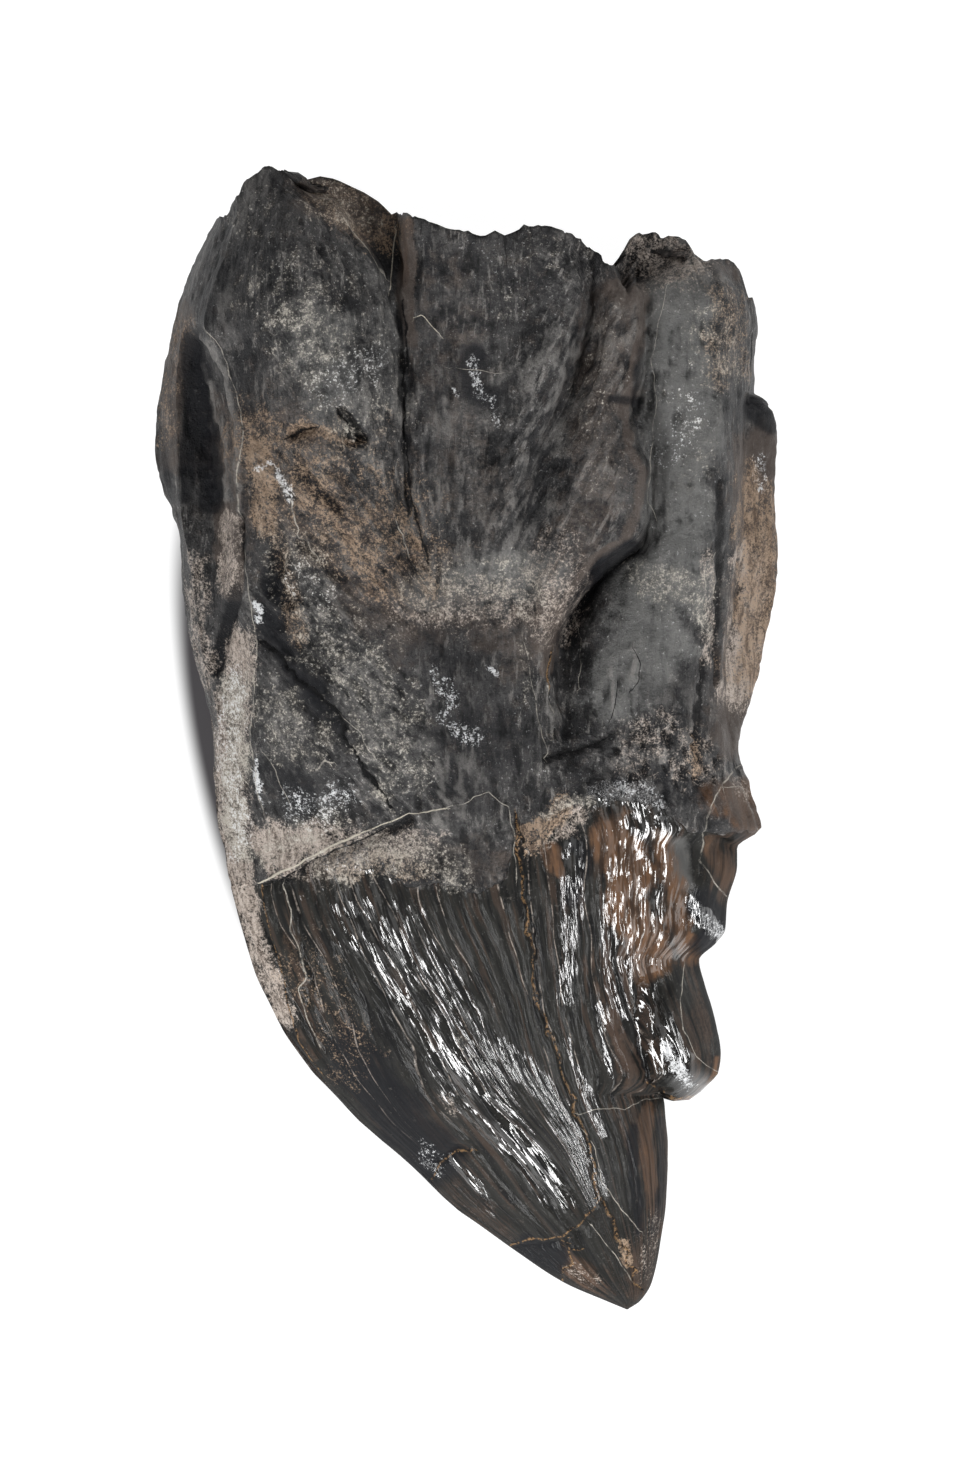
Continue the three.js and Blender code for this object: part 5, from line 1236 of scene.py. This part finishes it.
    def _line(self) -> None:
        """Works out each point's place beside the nearest thin line of every vein.

        A line is kept as two values: how far the point is to one side of it,
        counted in half widths, and how far away it is.
        """
        hidden = ~self.upper | (self.cap > 0.5)
        self.beside = {vein: np.full(hidden.shape, FAR) for vein in Vein}
        self.away = {vein: np.full(hidden.shape, FAR) for vein in Vein}
        for line in LINES:
            side, away = side_of_path(line.path, self._wander(line.wander))
            nearer = (away < self.away[line.vein]) & ~hidden
            self.beside[line.vein] = np.where(nearer, side / line.half, self.beside[line.vein])
            self.away[line.vein] = np.where(nearer, away, self.away[line.vein])
        for vein in Vein:
            self.beside[vein] = np.clip(self.beside[vein], -FAR, FAR)


# ---- materials


class Socket:
    """One shader value: operators on it add Math nodes."""

    def __init__(self, shader: "Shader", output: bpy.types.NodeSocket) -> None:
        """Wraps an output socket of the shader."""
        self.shader, self.output = shader, output

    def _math(self, operation: str, *values: "Socket | float") -> "Socket":
        """A Math node of this operation on the values."""
        return self.shader.node("ShaderNodeMath", {"operation": operation}, dict(enumerate(values)))

    def __add__(self, other: "Socket | float") -> "Socket":
        """Sum."""
        return self._math("ADD", self, other)

    def __sub__(self, other: "Socket | float") -> "Socket":
        """Difference."""
        return self._math("SUBTRACT", self, other)

    def __rsub__(self, other: float) -> "Socket":
        """Difference from a number."""
        return self._math("SUBTRACT", other, self)

    def __mul__(self, other: "Socket | float") -> "Socket":
        """Product."""
        return self._math("MULTIPLY", self, other)

    __radd__ = __add__

    def folded(self, step: float) -> "Socket":
        """Distance to the nearest multiple of twice the step, so 0 up to step."""
        return self._math("PINGPONG", self, step)

    def larger(self, other: "Socket | float") -> "Socket":
        """Larger of the two."""
        return self._math("MAXIMUM", self, other)

    def rounded(self) -> "Socket":
        """Nearest whole number."""
        return self._math("ROUND", self)

    def size(self) -> "Socket":
        """Value without its sign."""
        return self._math("ABSOLUTE", self)

    def between(self, start: float, end: float) -> "Socket":
        """Smooth step of this value from 0 at start to 1 at end."""
        values = {"Value": self, "From Min": start, "From Max": end}
        return self.shader.node("ShaderNodeMapRange", {"interpolation_type": "SMOOTHSTEP"}, values)


class Shader:
    """A material's node tree, built from expressions."""

    def __init__(self, name: str) -> None:
        """Makes an empty material."""
        self.material = bpy.data.materials.new(name)
        self.material.use_nodes = True
        self.tree = self.material.node_tree
        self.tree.nodes.clear()

    def surface(self, values: dict) -> Socket:
        """A Principled shader with the given inputs."""
        return self.node("ShaderNodeBsdfPrincipled", {}, values)

    def finish(self, surface: Socket) -> bpy.types.Material:
        """Makes a surface the material's look, and returns the material."""
        self.node("ShaderNodeOutputMaterial", {}, {"Surface": surface}, None)
        return self.material

    def feed(self, socket: bpy.types.NodeSocket, value: "Socket | float | tuple") -> None:
        """Links a value to a socket, or sets it there if it is a constant.

        Args:
            socket: a node's input.
            value: what goes in.
        """
        if isinstance(value, Socket):
            self.tree.links.new(value.output, socket)
        else:
            socket.default_value = value

    def node(self, kind: str, settings: dict, values: dict, output: int | str | None = 0) -> Socket | None:
        """Adds any node.

        Args:
            kind: the node's type.
            settings: its properties, set before its sockets are fed.
            values: input name or index to value.
            output: which output to return, if any.

        Returns:
            The chosen output.
        """
        made = self.tree.nodes.new(kind)
        for key, value in settings.items():
            setattr(made, key, value)
        for key, value in values.items():
            self.feed(made.inputs[key], value)
        return None if output is None else Socket(self, made.outputs[output])

    def mask(self, name: str) -> Socket:
        """A value that the mesh carries at its points."""
        return self.node("ShaderNodeAttribute", {"attribute_name": name}, {}, "Fac")

    def noise(self, place: Socket, cells: float, detail: float, rough: float) -> Socket:
        """Noise about 0.5 read at place: cells in a unit of it, finer noises, and the strength of each."""
        values = {"Vector": place, "Scale": cells, "Detail": detail, "Roughness": rough}
        return self.node("ShaderNodeTexNoise", {}, values)

    def grain(self, size: float, detail: float, rough: float, seed: float) -> Socket:
        """Noise whose cells are as long as they are wide.

        Args:
            size: width of the largest cells, in millimetres.
            detail, rough: how many finer noises there are, and how strong each is.
            seed: shifts the noise, so that two of them differ.

        Returns:
            The noise.
        """
        place = self.node("ShaderNodeTexCoord", {}, {}, "Object")
        shift = (seed, seed * 1.7, seed * 0.6)
        shifted = self.node("ShaderNodeMapping", {}, {"Vector": place, "Location": shift})
        return self.noise(shifted, 1 / (size * MM), detail, rough)

    def splinter(self, size: float, length: float, lean: float) -> Socket:
        """Noise drawn out into splinters that lean from the tooth's axis.

        Args:
            size: width of a splinter, in millimetres.
            length: how many times longer than wide it is.
            lean: degrees from +Y towards +X.

        Returns:
            The noise.
        """
        place = self.node("ShaderNodeTexCoord", {}, {}, "Object")
        turned = self.node(
            "ShaderNodeMapping", {"vector_type": "TEXTURE"},
            {"Vector": place, "Rotation": (0, 0, -math.radians(lean)), "Scale": (1, length, 1)},
        )
        return self.noise(turned, 1 / (size * MM), 5, 0.66)

    def wrinkle(self, size: float, detail: float, along: float) -> Socket:
        """Noise laid on the skin's own map, so that it runs with the enamel's ridges.

        Args:
            size: width of a wrinkle, in millimetres.
            detail: how many times finer noise is laid over it.
            along: how many cells lie along a ridge for one across it.

        Returns:
            The noise.
        """
        place = self.node("ShaderNodeUVMap", {"uv_map": SKIN_MAP}, {})
        scaled = self.node("ShaderNodeMapping", {}, {"Vector": place, "Scale": (1, along, 1)})
        return self.noise(scaled, SKIN_MAP_MM / size, detail, 0.6)

    def between_values(self, share: Socket, first: Socket, second: Socket) -> Socket:
        """Value that goes from first to second as share goes from 0 to 1."""
        return self.node("ShaderNodeMix", {"data_type": "FLOAT"}, {0: share, 2: first, 3: second})

    def blend(self, share: "Socket | float", first: "Socket | tuple", second: "Socket | tuple") -> Socket:
        """Colour that goes from first to second as share goes from 0 to 1."""
        return self.node("ShaderNodeMix", {"data_type": "RGBA"}, {0: share, 6: first, 7: second}, 2)


class Weathering:
    """The noises that roughen the petrified surface, and the shares of its stains."""

    def __init__(self, s: Shader) -> None:
        """Lays the noises.

        Args:
            s: the shader they belong to.
        """
        self.shader = s
        self.cloud, self.mottle = s.grain(3.2, 8, 0.68, 0.3), s.grain(1.0, 7, 0.74, 0.2)
        upright = s.between_values(s.mask("slant"), s.splinter(0.42, 5, 2), s.splinter(0.42, 5, 26))
        self.fibre = s.between_values(s.mask("diagonal"), upright, s.splinter(0.42, 5, -46))
        self.grit, self.dot = s.grain(0.24, 4, 0.7, 0.1), s.grain(0.12, 2, 0.6, 0.4)
        self.silk, self.strand = s.wrinkle(0.42, 5, 0.14), s.wrinkle(0.6, 3, 0.075)
        fine, coarse = s.wrinkle(0.27, 0.8, 0.15), s.wrinkle(1.4, 0.8, 0.75)
        self.crumple = s.between_values(s.mask("narrow"), fine, coarse)
        self.enamel = (s.mask("enamel") + (self.mottle - 0.5) * 0.5).between(0.4, 0.6)
        self.smooth = (1 - s.mask("grey") * 0.75) * (1 - s.mask("black") * 0.5)

    def soft(self, tone: Tone, depth: float) -> Socket:
        """Share of a tone that clouds the surface; the noises shift its edge by depth."""
        frayed = (self.mottle - 0.5) * depth + (self.grit - 0.5) * depth * 0.5
        return (self.shader.mask(tone.value) + frayed).between(0.2, 0.9)

    def patchy(self, tone: Tone, start: float, patches: float, grains: float) -> Socket:
        """Share of a tone that lies in ragged patches of grains.

        Args:
            tone: the tone.
            start: where its patches begin.
            patches, grains: how far the mottle and the finer noises shift their edges.

        Returns:
            The share.
        """
        share = self.shader.mask(tone.value)
        ragged = share + (self.mottle - 0.5) * patches + (self.grit - 0.5) * grains
        ragged = ragged + (self.dot - 0.5) * grains * 0.7
        return ragged.between(start - 0.16, start + 0.44) * share.between(0.0, 0.2)

    def vein(self, kind: Vein) -> Socket:
        """Share of a kind of thin line, frayed by noise.

        Args:
            kind: what the lines are made of.

        Returns:
            The share.
        """
        beside = self.shader.mask(f"{kind.value}_beside").size()
        beside = beside + (self.grit - 0.5) * 1.8 + (self.mottle - 0.5) * 2.2
        away = self.shader.mask(f"{kind.value}_away")
        return (1 - beside.between(0.4, 1.0)) * (1 - away.between(0.3, 0.5))


@dataclass(frozen=True)
class PetrifiedFinish:
    """The petrified tooth: dark root, wrinkled enamel and the stains on both."""

    charcoal: tuple = (0.020, 0.020, 0.0212, 1)
    slate: tuple = (0.058, 0.0565, 0.0565, 1)
    # pale dust specks, and painted sheen on raised relief
    dust_and_sheen: tuple = (0.25, 0.238, 0.225, 1)
    # sooty dark, and painted shade in sunk relief and cracks
    soot_and_shade: tuple = (0.004, 0.004, 0.0045, 1)
    jet: tuple = (0.006, 0.0058, 0.005, 1)
    olive: tuple = (0.017, 0.0166, 0.015, 1)
    ash: tuple = (0.038, 0.0365, 0.034, 1)
    grey: tuple = (0.135, 0.134, 0.130, 1)
    umber: tuple = (0.062, 0.040, 0.029, 1)
    bark: tuple = (0.085, 0.067, 0.057, 1)
    amber: tuple = (0.128, 0.068, 0.037, 1)
    tan: tuple = (0.47, 0.405, 0.355, 1)
    clay: tuple = (0.19, 0.155, 0.13, 1)
    russet: tuple = (0.12, 0.082, 0.058, 1)
    ochre: tuple = (0.34, 0.245, 0.17, 1)
    chalk: tuple = (0.19, 0.178, 0.158, 1)
    cream: tuple = (0.50, 0.465, 0.405, 1)
    # white of crystal specks and of painted glints
    frost: tuple = (0.66, 0.67, 0.68, 1)
    black: tuple = (0.005, 0.0055, 0.0075, 1)
    ivory: tuple = (0.50, 0.46, 0.38, 1)
    rust: tuple = (0.21, 0.125, 0.060, 1)

    def _root(self, w: Weathering) -> Socket:
        """Colour of the splintered root.

        Args:
            w: the grains of the surface.

        Returns:
            The colour, before its stains.
        """
        s, smooth, mottle = w.shader, w.smooth, w.mottle
        proud = s.mask("proud")
        # Raised fine relief is drawn paler and sunk relief darker: painted light and shade on the relief.
        raised = (proud * 3.0 + (w.grit - 0.5) * 0.6).between(0.05, 0.5)
        sunk = 1 - (proud * 3.0 + (w.grit - 0.5) * 0.5).between(-0.45, -0.08)
        pale_fibre = w.fibre.between(0.54, 0.66) * mottle.between(0.36, 0.56) * smooth
        pale_dot = w.dot.between(0.56, 0.7) * mottle.between(0.42, 0.62) * smooth
        root = s.blend(w.cloud.between(0.38, 0.64), self.charcoal, self.slate)
        root = s.blend(mottle.between(0.5, 0.72) * 0.5, root, self.bark)
        root = s.blend(w.soft(Tone.GREY, 1.2) * 0.8, root, self.grey)
        root = s.blend(raised * 0.5, root, self.dust_and_sheen)
        root = s.blend(pale_fibre * 0.75, root, self.dust_and_sheen)
        root = s.blend(w.grit.between(0.58, 0.7) * w.cloud.between(0.44, 0.6) * 0.7, root, self.dust_and_sheen)
        root = s.blend(pale_dot * 0.4, root, self.dust_and_sheen)
        root = s.blend((1 - w.dot.between(0.34, 0.45)) * smooth * 0.45, root, self.soot_and_shade)
        root = s.blend((1 - mottle.between(0.33, 0.46)) * smooth * 0.7, root, self.soot_and_shade)
        root = s.blend((1 - w.fibre.between(0.35, 0.45)) * smooth * 0.75, root, self.soot_and_shade)
        root = s.blend(sunk * 0.75, root, self.soot_and_shade)
        # sparse bright specks over the root: crystal grains, with painted glints
        speck = (s.mask("frost") + s.mask("cream") * 0.8 + 0.3).between(0.0, 0.7)
        return s.blend(w.grit.between(0.63, 0.68) * mottle.between(0.42, 0.54) * speck, root, self.frost)

    def _wrinkled(self, w: Weathering) -> Socket:
        """Colour of the wrinkled enamel.

        Args:
            w: the grains of the surface.

        Returns:
            The colour, before its stains.
        """
        s, spots = w.shader, w.mottle.between(0.4, 0.6)
        enamel = s.blend(s.mask("ridge").between(0.1, 0.95), self.jet, self.olive)
        enamel = s.blend(w.silk.between(0.5, 0.62) * 0.3, enamel, self.ash)
        enamel = s.blend(w.crumple.between(0.58, 0.68) * spots * 0.2, enamel, self.grey)
        enamel = s.blend((1 - w.silk.between(0.38, 0.46)) * 0.8, enamel, self.soot_and_shade)
        enamel = s.blend(w.strand.between(0.54, 0.66) * 0.45, enamel, self.umber)
        enamel = s.blend((1 - w.strand.between(0.36, 0.44)) * 0.75, enamel, self.soot_and_shade)
        enamel = s.blend((w.dot * 0.5 + w.grit * 0.5).between(0.54, 0.64) * spots * 0.35, enamel, self.grey)
        return s.blend(w.soft(Tone.GREY, 0.8) * 0.6, enamel, self.grey)

    def _stained(self, w: Weathering, colour: Socket) -> Socket:
        """Lays the stains over the root and the enamel; some black ones are painted shade and some white ones
        painted glints and highlights.

        Args:
            w: the grains of the surface.
            colour: what they lie on.

        Returns:
            The stained colour.
        """
        s = w.shader
        amber = w.soft(Tone.AMBER, 0.9) * (0.25 + w.silk.between(0.36, 0.6) * 0.7)
        colour = s.blend(amber, colour, self.amber)
        brown = s.blend(w.enamel, self.bark, s.blend(w.strand.between(0.42, 0.54), self.jet, self.umber))
        colour = s.blend(w.soft(Tone.BROWN, 1.8) * 0.7, colour, brown)
        colour = s.blend(w.soft(Tone.BLACK, 0.8) * 0.85, colour, self.black)
        coarse = w.fibre * 0.5 + w.grit * 0.3 + w.dot * 0.2
        worn = s.blend(coarse.between(0.42, 0.56), self.clay, self.tan)
        earthy = s.blend(coarse.between(0.43, 0.56), self.russet, self.ochre)
        colour = s.blend(w.patchy(Tone.TAN, 0.34, 1.5, 1.5) * 0.9, colour, worn)
        colour = s.blend(w.patchy(Tone.OCHRE, 0.42, 1.8, 2.0) * 0.8, colour, earthy)
        colour = s.blend(w.soft(Tone.CREAM, 2.0) * 0.55, colour, self.chalk)
        colour = s.blend(w.patchy(Tone.CREAM, 0.62, 2.2, 2.2) * 0.7, colour, self.cream)
        return s.blend(w.patchy(Tone.FROST, 0.54, 2.0, 2.4) * 0.85, colour, self.frost)

    def _veined(self, w: Weathering, colour: Socket) -> Socket:
        """Draws the thin lines: tan threads between some ridges, then cracks and veins.

        Args:
            w: the grains of the surface.
            colour: what they lie on.

        Returns:
            The colour with the lines.
        """
        s, comb = w.shader, w.shader.mask("comb")
        chosen = s.node("ShaderNodeTexWhiteNoise", {"noise_dimensions": "1D"}, {"W": comb.rounded()})
        thread = (1 - comb.folded(0.5).between(0.012, 0.045)) * chosen.between(0.45, 0.46) * s.mask("thread")
        colour = s.blend(thread * w.mottle.between(0.42, 0.6) * w.enamel * 0.5, colour, self.tan)
        rusty = s.blend(w.grit.between(0.45, 0.55), self.soot_and_shade, self.rust)
        colour = s.blend(w.vein(Vein.RUSTY) * w.mottle.between(0.38, 0.5) * 0.95, colour, rusty)
        colour = s.blend(w.vein(Vein.DARK) * 0.95, colour, self.soot_and_shade)
        colour = s.blend(w.vein(Vein.FAINT) * w.mottle.between(0.36, 0.6) * 0.7, colour, self.cream)
        return s.blend(w.vein(Vein.PALE) * w.mottle.between(0.3, 0.45) * 0.9, colour, self.ivory)

    def build(self) -> bpy.types.Material:
        """Makes the material: a dull surface, and a glassy one where the enamel shines.

        Returns:
            One material for the whole tooth.
        """
        s = Shader("petrified_tooth")
        w = Weathering(s)
        gloss, polish = s.mask("gloss"), s.mask("polish")
        colour = s.blend(w.enamel, self._root(w), self._wrinkled(w))
        colour = self._veined(w, self._stained(w, colour))
        grains = w.mottle * 1.4 + w.fibre * w.smooth * 1.6 + w.grit * 0.5 + w.dot * 0.25
        grains = grains * (1 - w.enamel) * (1 + gloss * 1.2)
        folds = (w.crumple * (0.3 + gloss * 0.85) + w.silk * 0.4) * w.enamel * (1 - polish * 0.8)
        bump = {"Strength": 1.0, "Distance": BUMP_DEPTH * MM, "Height": grains + folds}
        relief = s.node("ShaderNodeBump", {}, bump, "Normal")
        dull = s.surface({
            "Base Color": colour, "Roughness": 0.5 + (w.mottle - 0.5) * 0.5 + w.enamel * 0.25,
            "Specular IOR Level": 0.13, "Normal": relief,
        })
        glassy = s.surface({
            "Base Color": colour, "Roughness": 0.07 + polish * 0.03,
            "Specular IOR Level": 1.0, "Normal": relief,
        })
        strands = (gloss + (w.strand - 0.5) * 2.4).between(0.5, 0.68) * w.silk.between(0.43, 0.49)
        shine = (w.enamel * 0.06).larger(strands).larger(polish)
        return s.finish(s.node("ShaderNodeMixShader", {}, {0: shine, 1: dull, 2: glassy}))


@dataclass(frozen=True)
class StudioFinish:
    """White sheet that glows as if lit from behind, with painted shadow in two ovals beside and under the
    tooth.
    """

    white: tuple = (0.2, 0.2, 0.2, 1)
    painted_shadow: tuple = (0.10, 0.095, 0.10, 1)
    glow: tuple = (1, 1, 1, 1)
    dim: tuple = (0, 0, 0, 1)
    glow_strength: float = 0.95
    # painted shadow ovals: middle on the tooth's plan, half widths and turn in degrees
    ovals: tuple[tuple[Points, float], ...] = (
        (((-14.9, -0.4), (4.8, 20.0)), 11.5),
        (((1.0, 6.0), (15.5, 27.0)), 6.0),
    )
    edge: float = 0.3  # share of an oval's reach over which its shade sets in

    def build(self, origin: Vector) -> bpy.types.Material:
        """Makes the material.

        Args:
            origin: place of the plan's origin, in metres.

        Returns:
            The sheet's material.
        """
        s = Shader("studio_white")
        place = s.node("ShaderNodeTexCoord", {}, {}, "Object")
        shade = None
        for (middle, reach), turn in self.ovals:
            local = s.node(
                "ShaderNodeMapping", {"vector_type": "TEXTURE"},
                {"Vector": place, "Location": (origin.x + middle[0] * MM, origin.y + middle[1] * MM, 0),
                 "Rotation": (0, 0, math.radians(turn)), "Scale": (reach[0] * MM, reach[1] * MM, 1)},
            )
            oval = s.node("ShaderNodeTexGradient", {"gradient_type": "SPHERICAL"}, {"Vector": local}, "Fac")
            oval = oval.between(0.0, self.edge)
            shade = oval if shade is None else shade.larger(oval)
        # Inside the ovals the base colour and the glow drop: a painted shadow.
        return s.finish(s.surface({
            "Base Color": s.blend(shade, self.white, self.painted_shadow),
            "Roughness": 0.9, "Specular IOR Level": 0.0,
            "Emission Color": s.blend(shade, self.glow, self.dim),
            "Emission Strength": self.glow_strength,
        }))


# ---- pieces


def put(name: str, data: bpy.types.ID) -> bpy.types.Object:
    """Adds an object to the scene.

    Args:
        name: its name.
        data: its mesh, lamp or camera.

    Returns:
        The object, at the origin.
    """
    made = bpy.data.objects.new(name, data)
    bpy.context.collection.objects.link(made)
    return made


@dataclass
class Tooth:
    """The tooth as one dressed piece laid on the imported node."""

    node: str = "whale_tooth"
    name: str = "petrified_whale_tooth"

    def origin(self) -> Vector:
        """Finds the plan's origin in the frame.

        Returns:
            Its place, in metres.
        """
        low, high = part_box(self.node)
        across = [x for _, x in LEFT_EDGE + RIGHT_EDGE]
        along = [y for _, y in BROKEN_END] + [CUSP_Y]
        middle = Vector(((min(across) + max(across)) / 2, (min(along) + max(along)) / 2))
        centre = (Vector(low) + Vector(high)) / 2
        return Vector((centre.x - middle.x * MM, centre.y - middle.y * MM, low[2]))

    def _paint(self, mesh: bpy.types.Mesh, skin: ToothSkin, row: Array, column: Array) -> None:
        """Gives the mesh its masks, and a map that follows the ridges.

        Args:
            mesh: the tooth's mesh.
            skin: the grid it was made from.
            row, column: grid row and column of every vertex.
        """
        layers = {tone.value: value for tone, value in skin.tones.items()}
        layers |= {f"{vein.value}_beside": value for vein, value in skin.beside.items()}
        layers |= {f"{vein.value}_away": value for vein, value in skin.away.items()}
        layers |= skin.masks | {"enamel": skin.enamel}
        for name, value in layers.items():
            layer = mesh.attributes.new(name, "FLOAT", "POINT")
            layer.data.foreach_set("value", value[row, column].astype(np.float32))
        corner = np.empty(len(mesh.loops), dtype=np.int32)
        mesh.loops.foreach_get("vertex_index", corner)
        size = np.empty(len(mesh.polygons), dtype=np.int32)
        mesh.polygons.foreach_get("loop_total", size)
        face = np.repeat(np.arange(len(size)), size)
        at_seam = np.bincount(face, weights=column[corner] == skin.columns - 1) > 0
        around = np.where(skin.upper, skin.label, 2 - skin.label)[row, column][corner]
        around = np.where(at_seam[face] & (column[corner] == 0), 2.0, around) * CROWN_WIDTH
        along = skin.plan[1][row, column][corner] - CUSP_Y
        places = np.stack([around, along], axis=-1) / SKIN_MAP_MM
        mesh.uv_layers.new(name=SKIN_MAP).data.foreach_set("uv", places.astype(np.float32).ravel())

    def build(self) -> bpy.types.Object:
        """Makes the mesh from a sphere whose points are moved to the skin.

        Returns:
            The tooth's object, at the origin.
        """
        skin = ToothSkin()
        bm = bmesh.new()
        bmesh.ops.create_uvsphere(bm, u_segments=skin.columns, v_segments=skin.rows, radius=1.0)
        ball = np.array([v.co for v in bm.verts])
        row = np.rint(np.arccos(np.clip(ball[:, 2], -1, 1)) / math.pi * skin.rows).astype(int)
        turn = np.arctan2(ball[:, 1], ball[:, 0]) / (2 * math.pi)
        column = np.rint(turn * skin.columns).astype(int) % skin.columns
        origin = self.origin()
        placed = skin.points[row, column] * MM + np.array(origin)
        for vert, point in zip(bm.verts, placed):
            vert.co = point
        bmesh.ops.recalc_face_normals(bm, faces=bm.faces)
        mesh = bpy.data.meshes.new(self.name)
        bm.to_mesh(mesh)
        bm.free()
        mesh.shade_smooth()
        self._paint(mesh, skin, row, column)
        mesh.materials.append(PetrifiedFinish().build())
        piece = put(self.name, mesh)
        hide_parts(self.node)
        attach(piece, "root")
        LOG.info("tooth: %d columns, %d rows", skin.columns, skin.rows)
        return piece


@dataclass(frozen=True)
class SoftBox:
    """A soft box: where it hangs round the tooth, how strong it is and how it's shaped.

    azimuth (anticlockwise from +X) and tilt (from straight up) are in degrees,
    power in watts, length and width in metres; along is the way its length runs.
    """

    name: str
    azimuth: float
    tilt: float
    power: float
    length: float
    width: float
    along: tuple[float, float, float] = (1.0, 0.0, 0.0)


SOFT_BOXES: tuple[SoftBox, ...] = (
    SoftBox("right_strip", -33, 55, 5.0, 0.5, 0.15, (0.075, 0.829, 0.554)),
    SoftBox("left_strip", -122, 59, 6.2, 0.6, 0.13, (0.436, -0.524, -0.352)),
    SoftBox("overhead_box", 80, 24, 2.5, 1.2, 1.2),
)


@dataclass
class Studio:
    """Floor, lamps and camera around the tooth."""

    origin: Vector
    floor_size: float = 3.0
    lamp_distance: float = 0.75
    surround: float = 0.1  # strength of the light from all round
    film_width: float = 36.0  # millimetres of film behind the lens

    def floor(self) -> None:
        """A white sheet under the tooth."""
        bm = bmesh.new()
        bmesh.ops.create_grid(bm, x_segments=1, y_segments=1, size=self.floor_size / 2)
        mesh = bpy.data.meshes.new("studio_floor")
        bm.to_mesh(mesh)
        bm.free()
        mesh.materials.append(StudioFinish().build(self.origin))
        sheet = put("studio_floor", mesh)

    def lamp(self, box: SoftBox) -> None:
        """Hangs a soft box, aimed at the tooth.

        Args:
            box: where it hangs and how strong it is.
        """
        data = bpy.data.lights.new(box.name, "AREA")
        data.shape, data.size, data.size_y, data.energy = "RECTANGLE", box.length, box.width, box.power
        lamp = put(box.name, data)
        azimuth, tilt = math.radians(box.azimuth), math.radians(box.tilt)
        low = math.sin(tilt)
        away = Vector((low * math.cos(azimuth), low * math.sin(azimuth), math.cos(tilt)))
        side = Vector(box.along)
        side = (side - away * side.dot(away)).normalized()
        lamp.location = away * self.lamp_distance
        lamp.rotation_mode = "QUATERNION"
        lamp.rotation_quaternion = Matrix((side, away.cross(side), away)).transposed().to_quaternion()

    def camera(self) -> None:
        """A long lens straight above the tooth."""
        data = bpy.data.cameras.new("camera")
        data.sensor_width = self.film_width
        data.lens = data.sensor_width * (CAMERA_HEIGHT - PLAN_HEIGHT) / VIEW_LENGTH
        data.clip_start, data.clip_end = 0.1, 10.0
        camera = put("camera", data)
        camera.location = self.origin + Vector((*VIEW_CENTRE, CAMERA_HEIGHT)) * MM
        bpy.context.scene.camera = camera

    def build(self) -> None:
        """Sets the stage."""
        self.floor()
        for box in SOFT_BOXES:
            self.lamp(box)
        self.camera()
        scene = bpy.context.scene
        scene.view_settings.view_transform = "Standard"
        world = bpy.data.worlds.new("surround")
        world.use_nodes = True
        background = world.node_tree.nodes["Background"]
        background.inputs["Color"].default_value = (1, 1, 1, 1)
        background.inputs["Strength"].default_value = self.surround
        scene.world = world


def main() -> None:
    """Builds the studio and the tooth."""
    logging.basicConfig(level=logging.INFO)
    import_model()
    tooth = Tooth()
    Studio(tooth.origin()).build()
    tooth.build()
    bpy.context.view_layer.update()


if __name__ == "__main__":
    main()
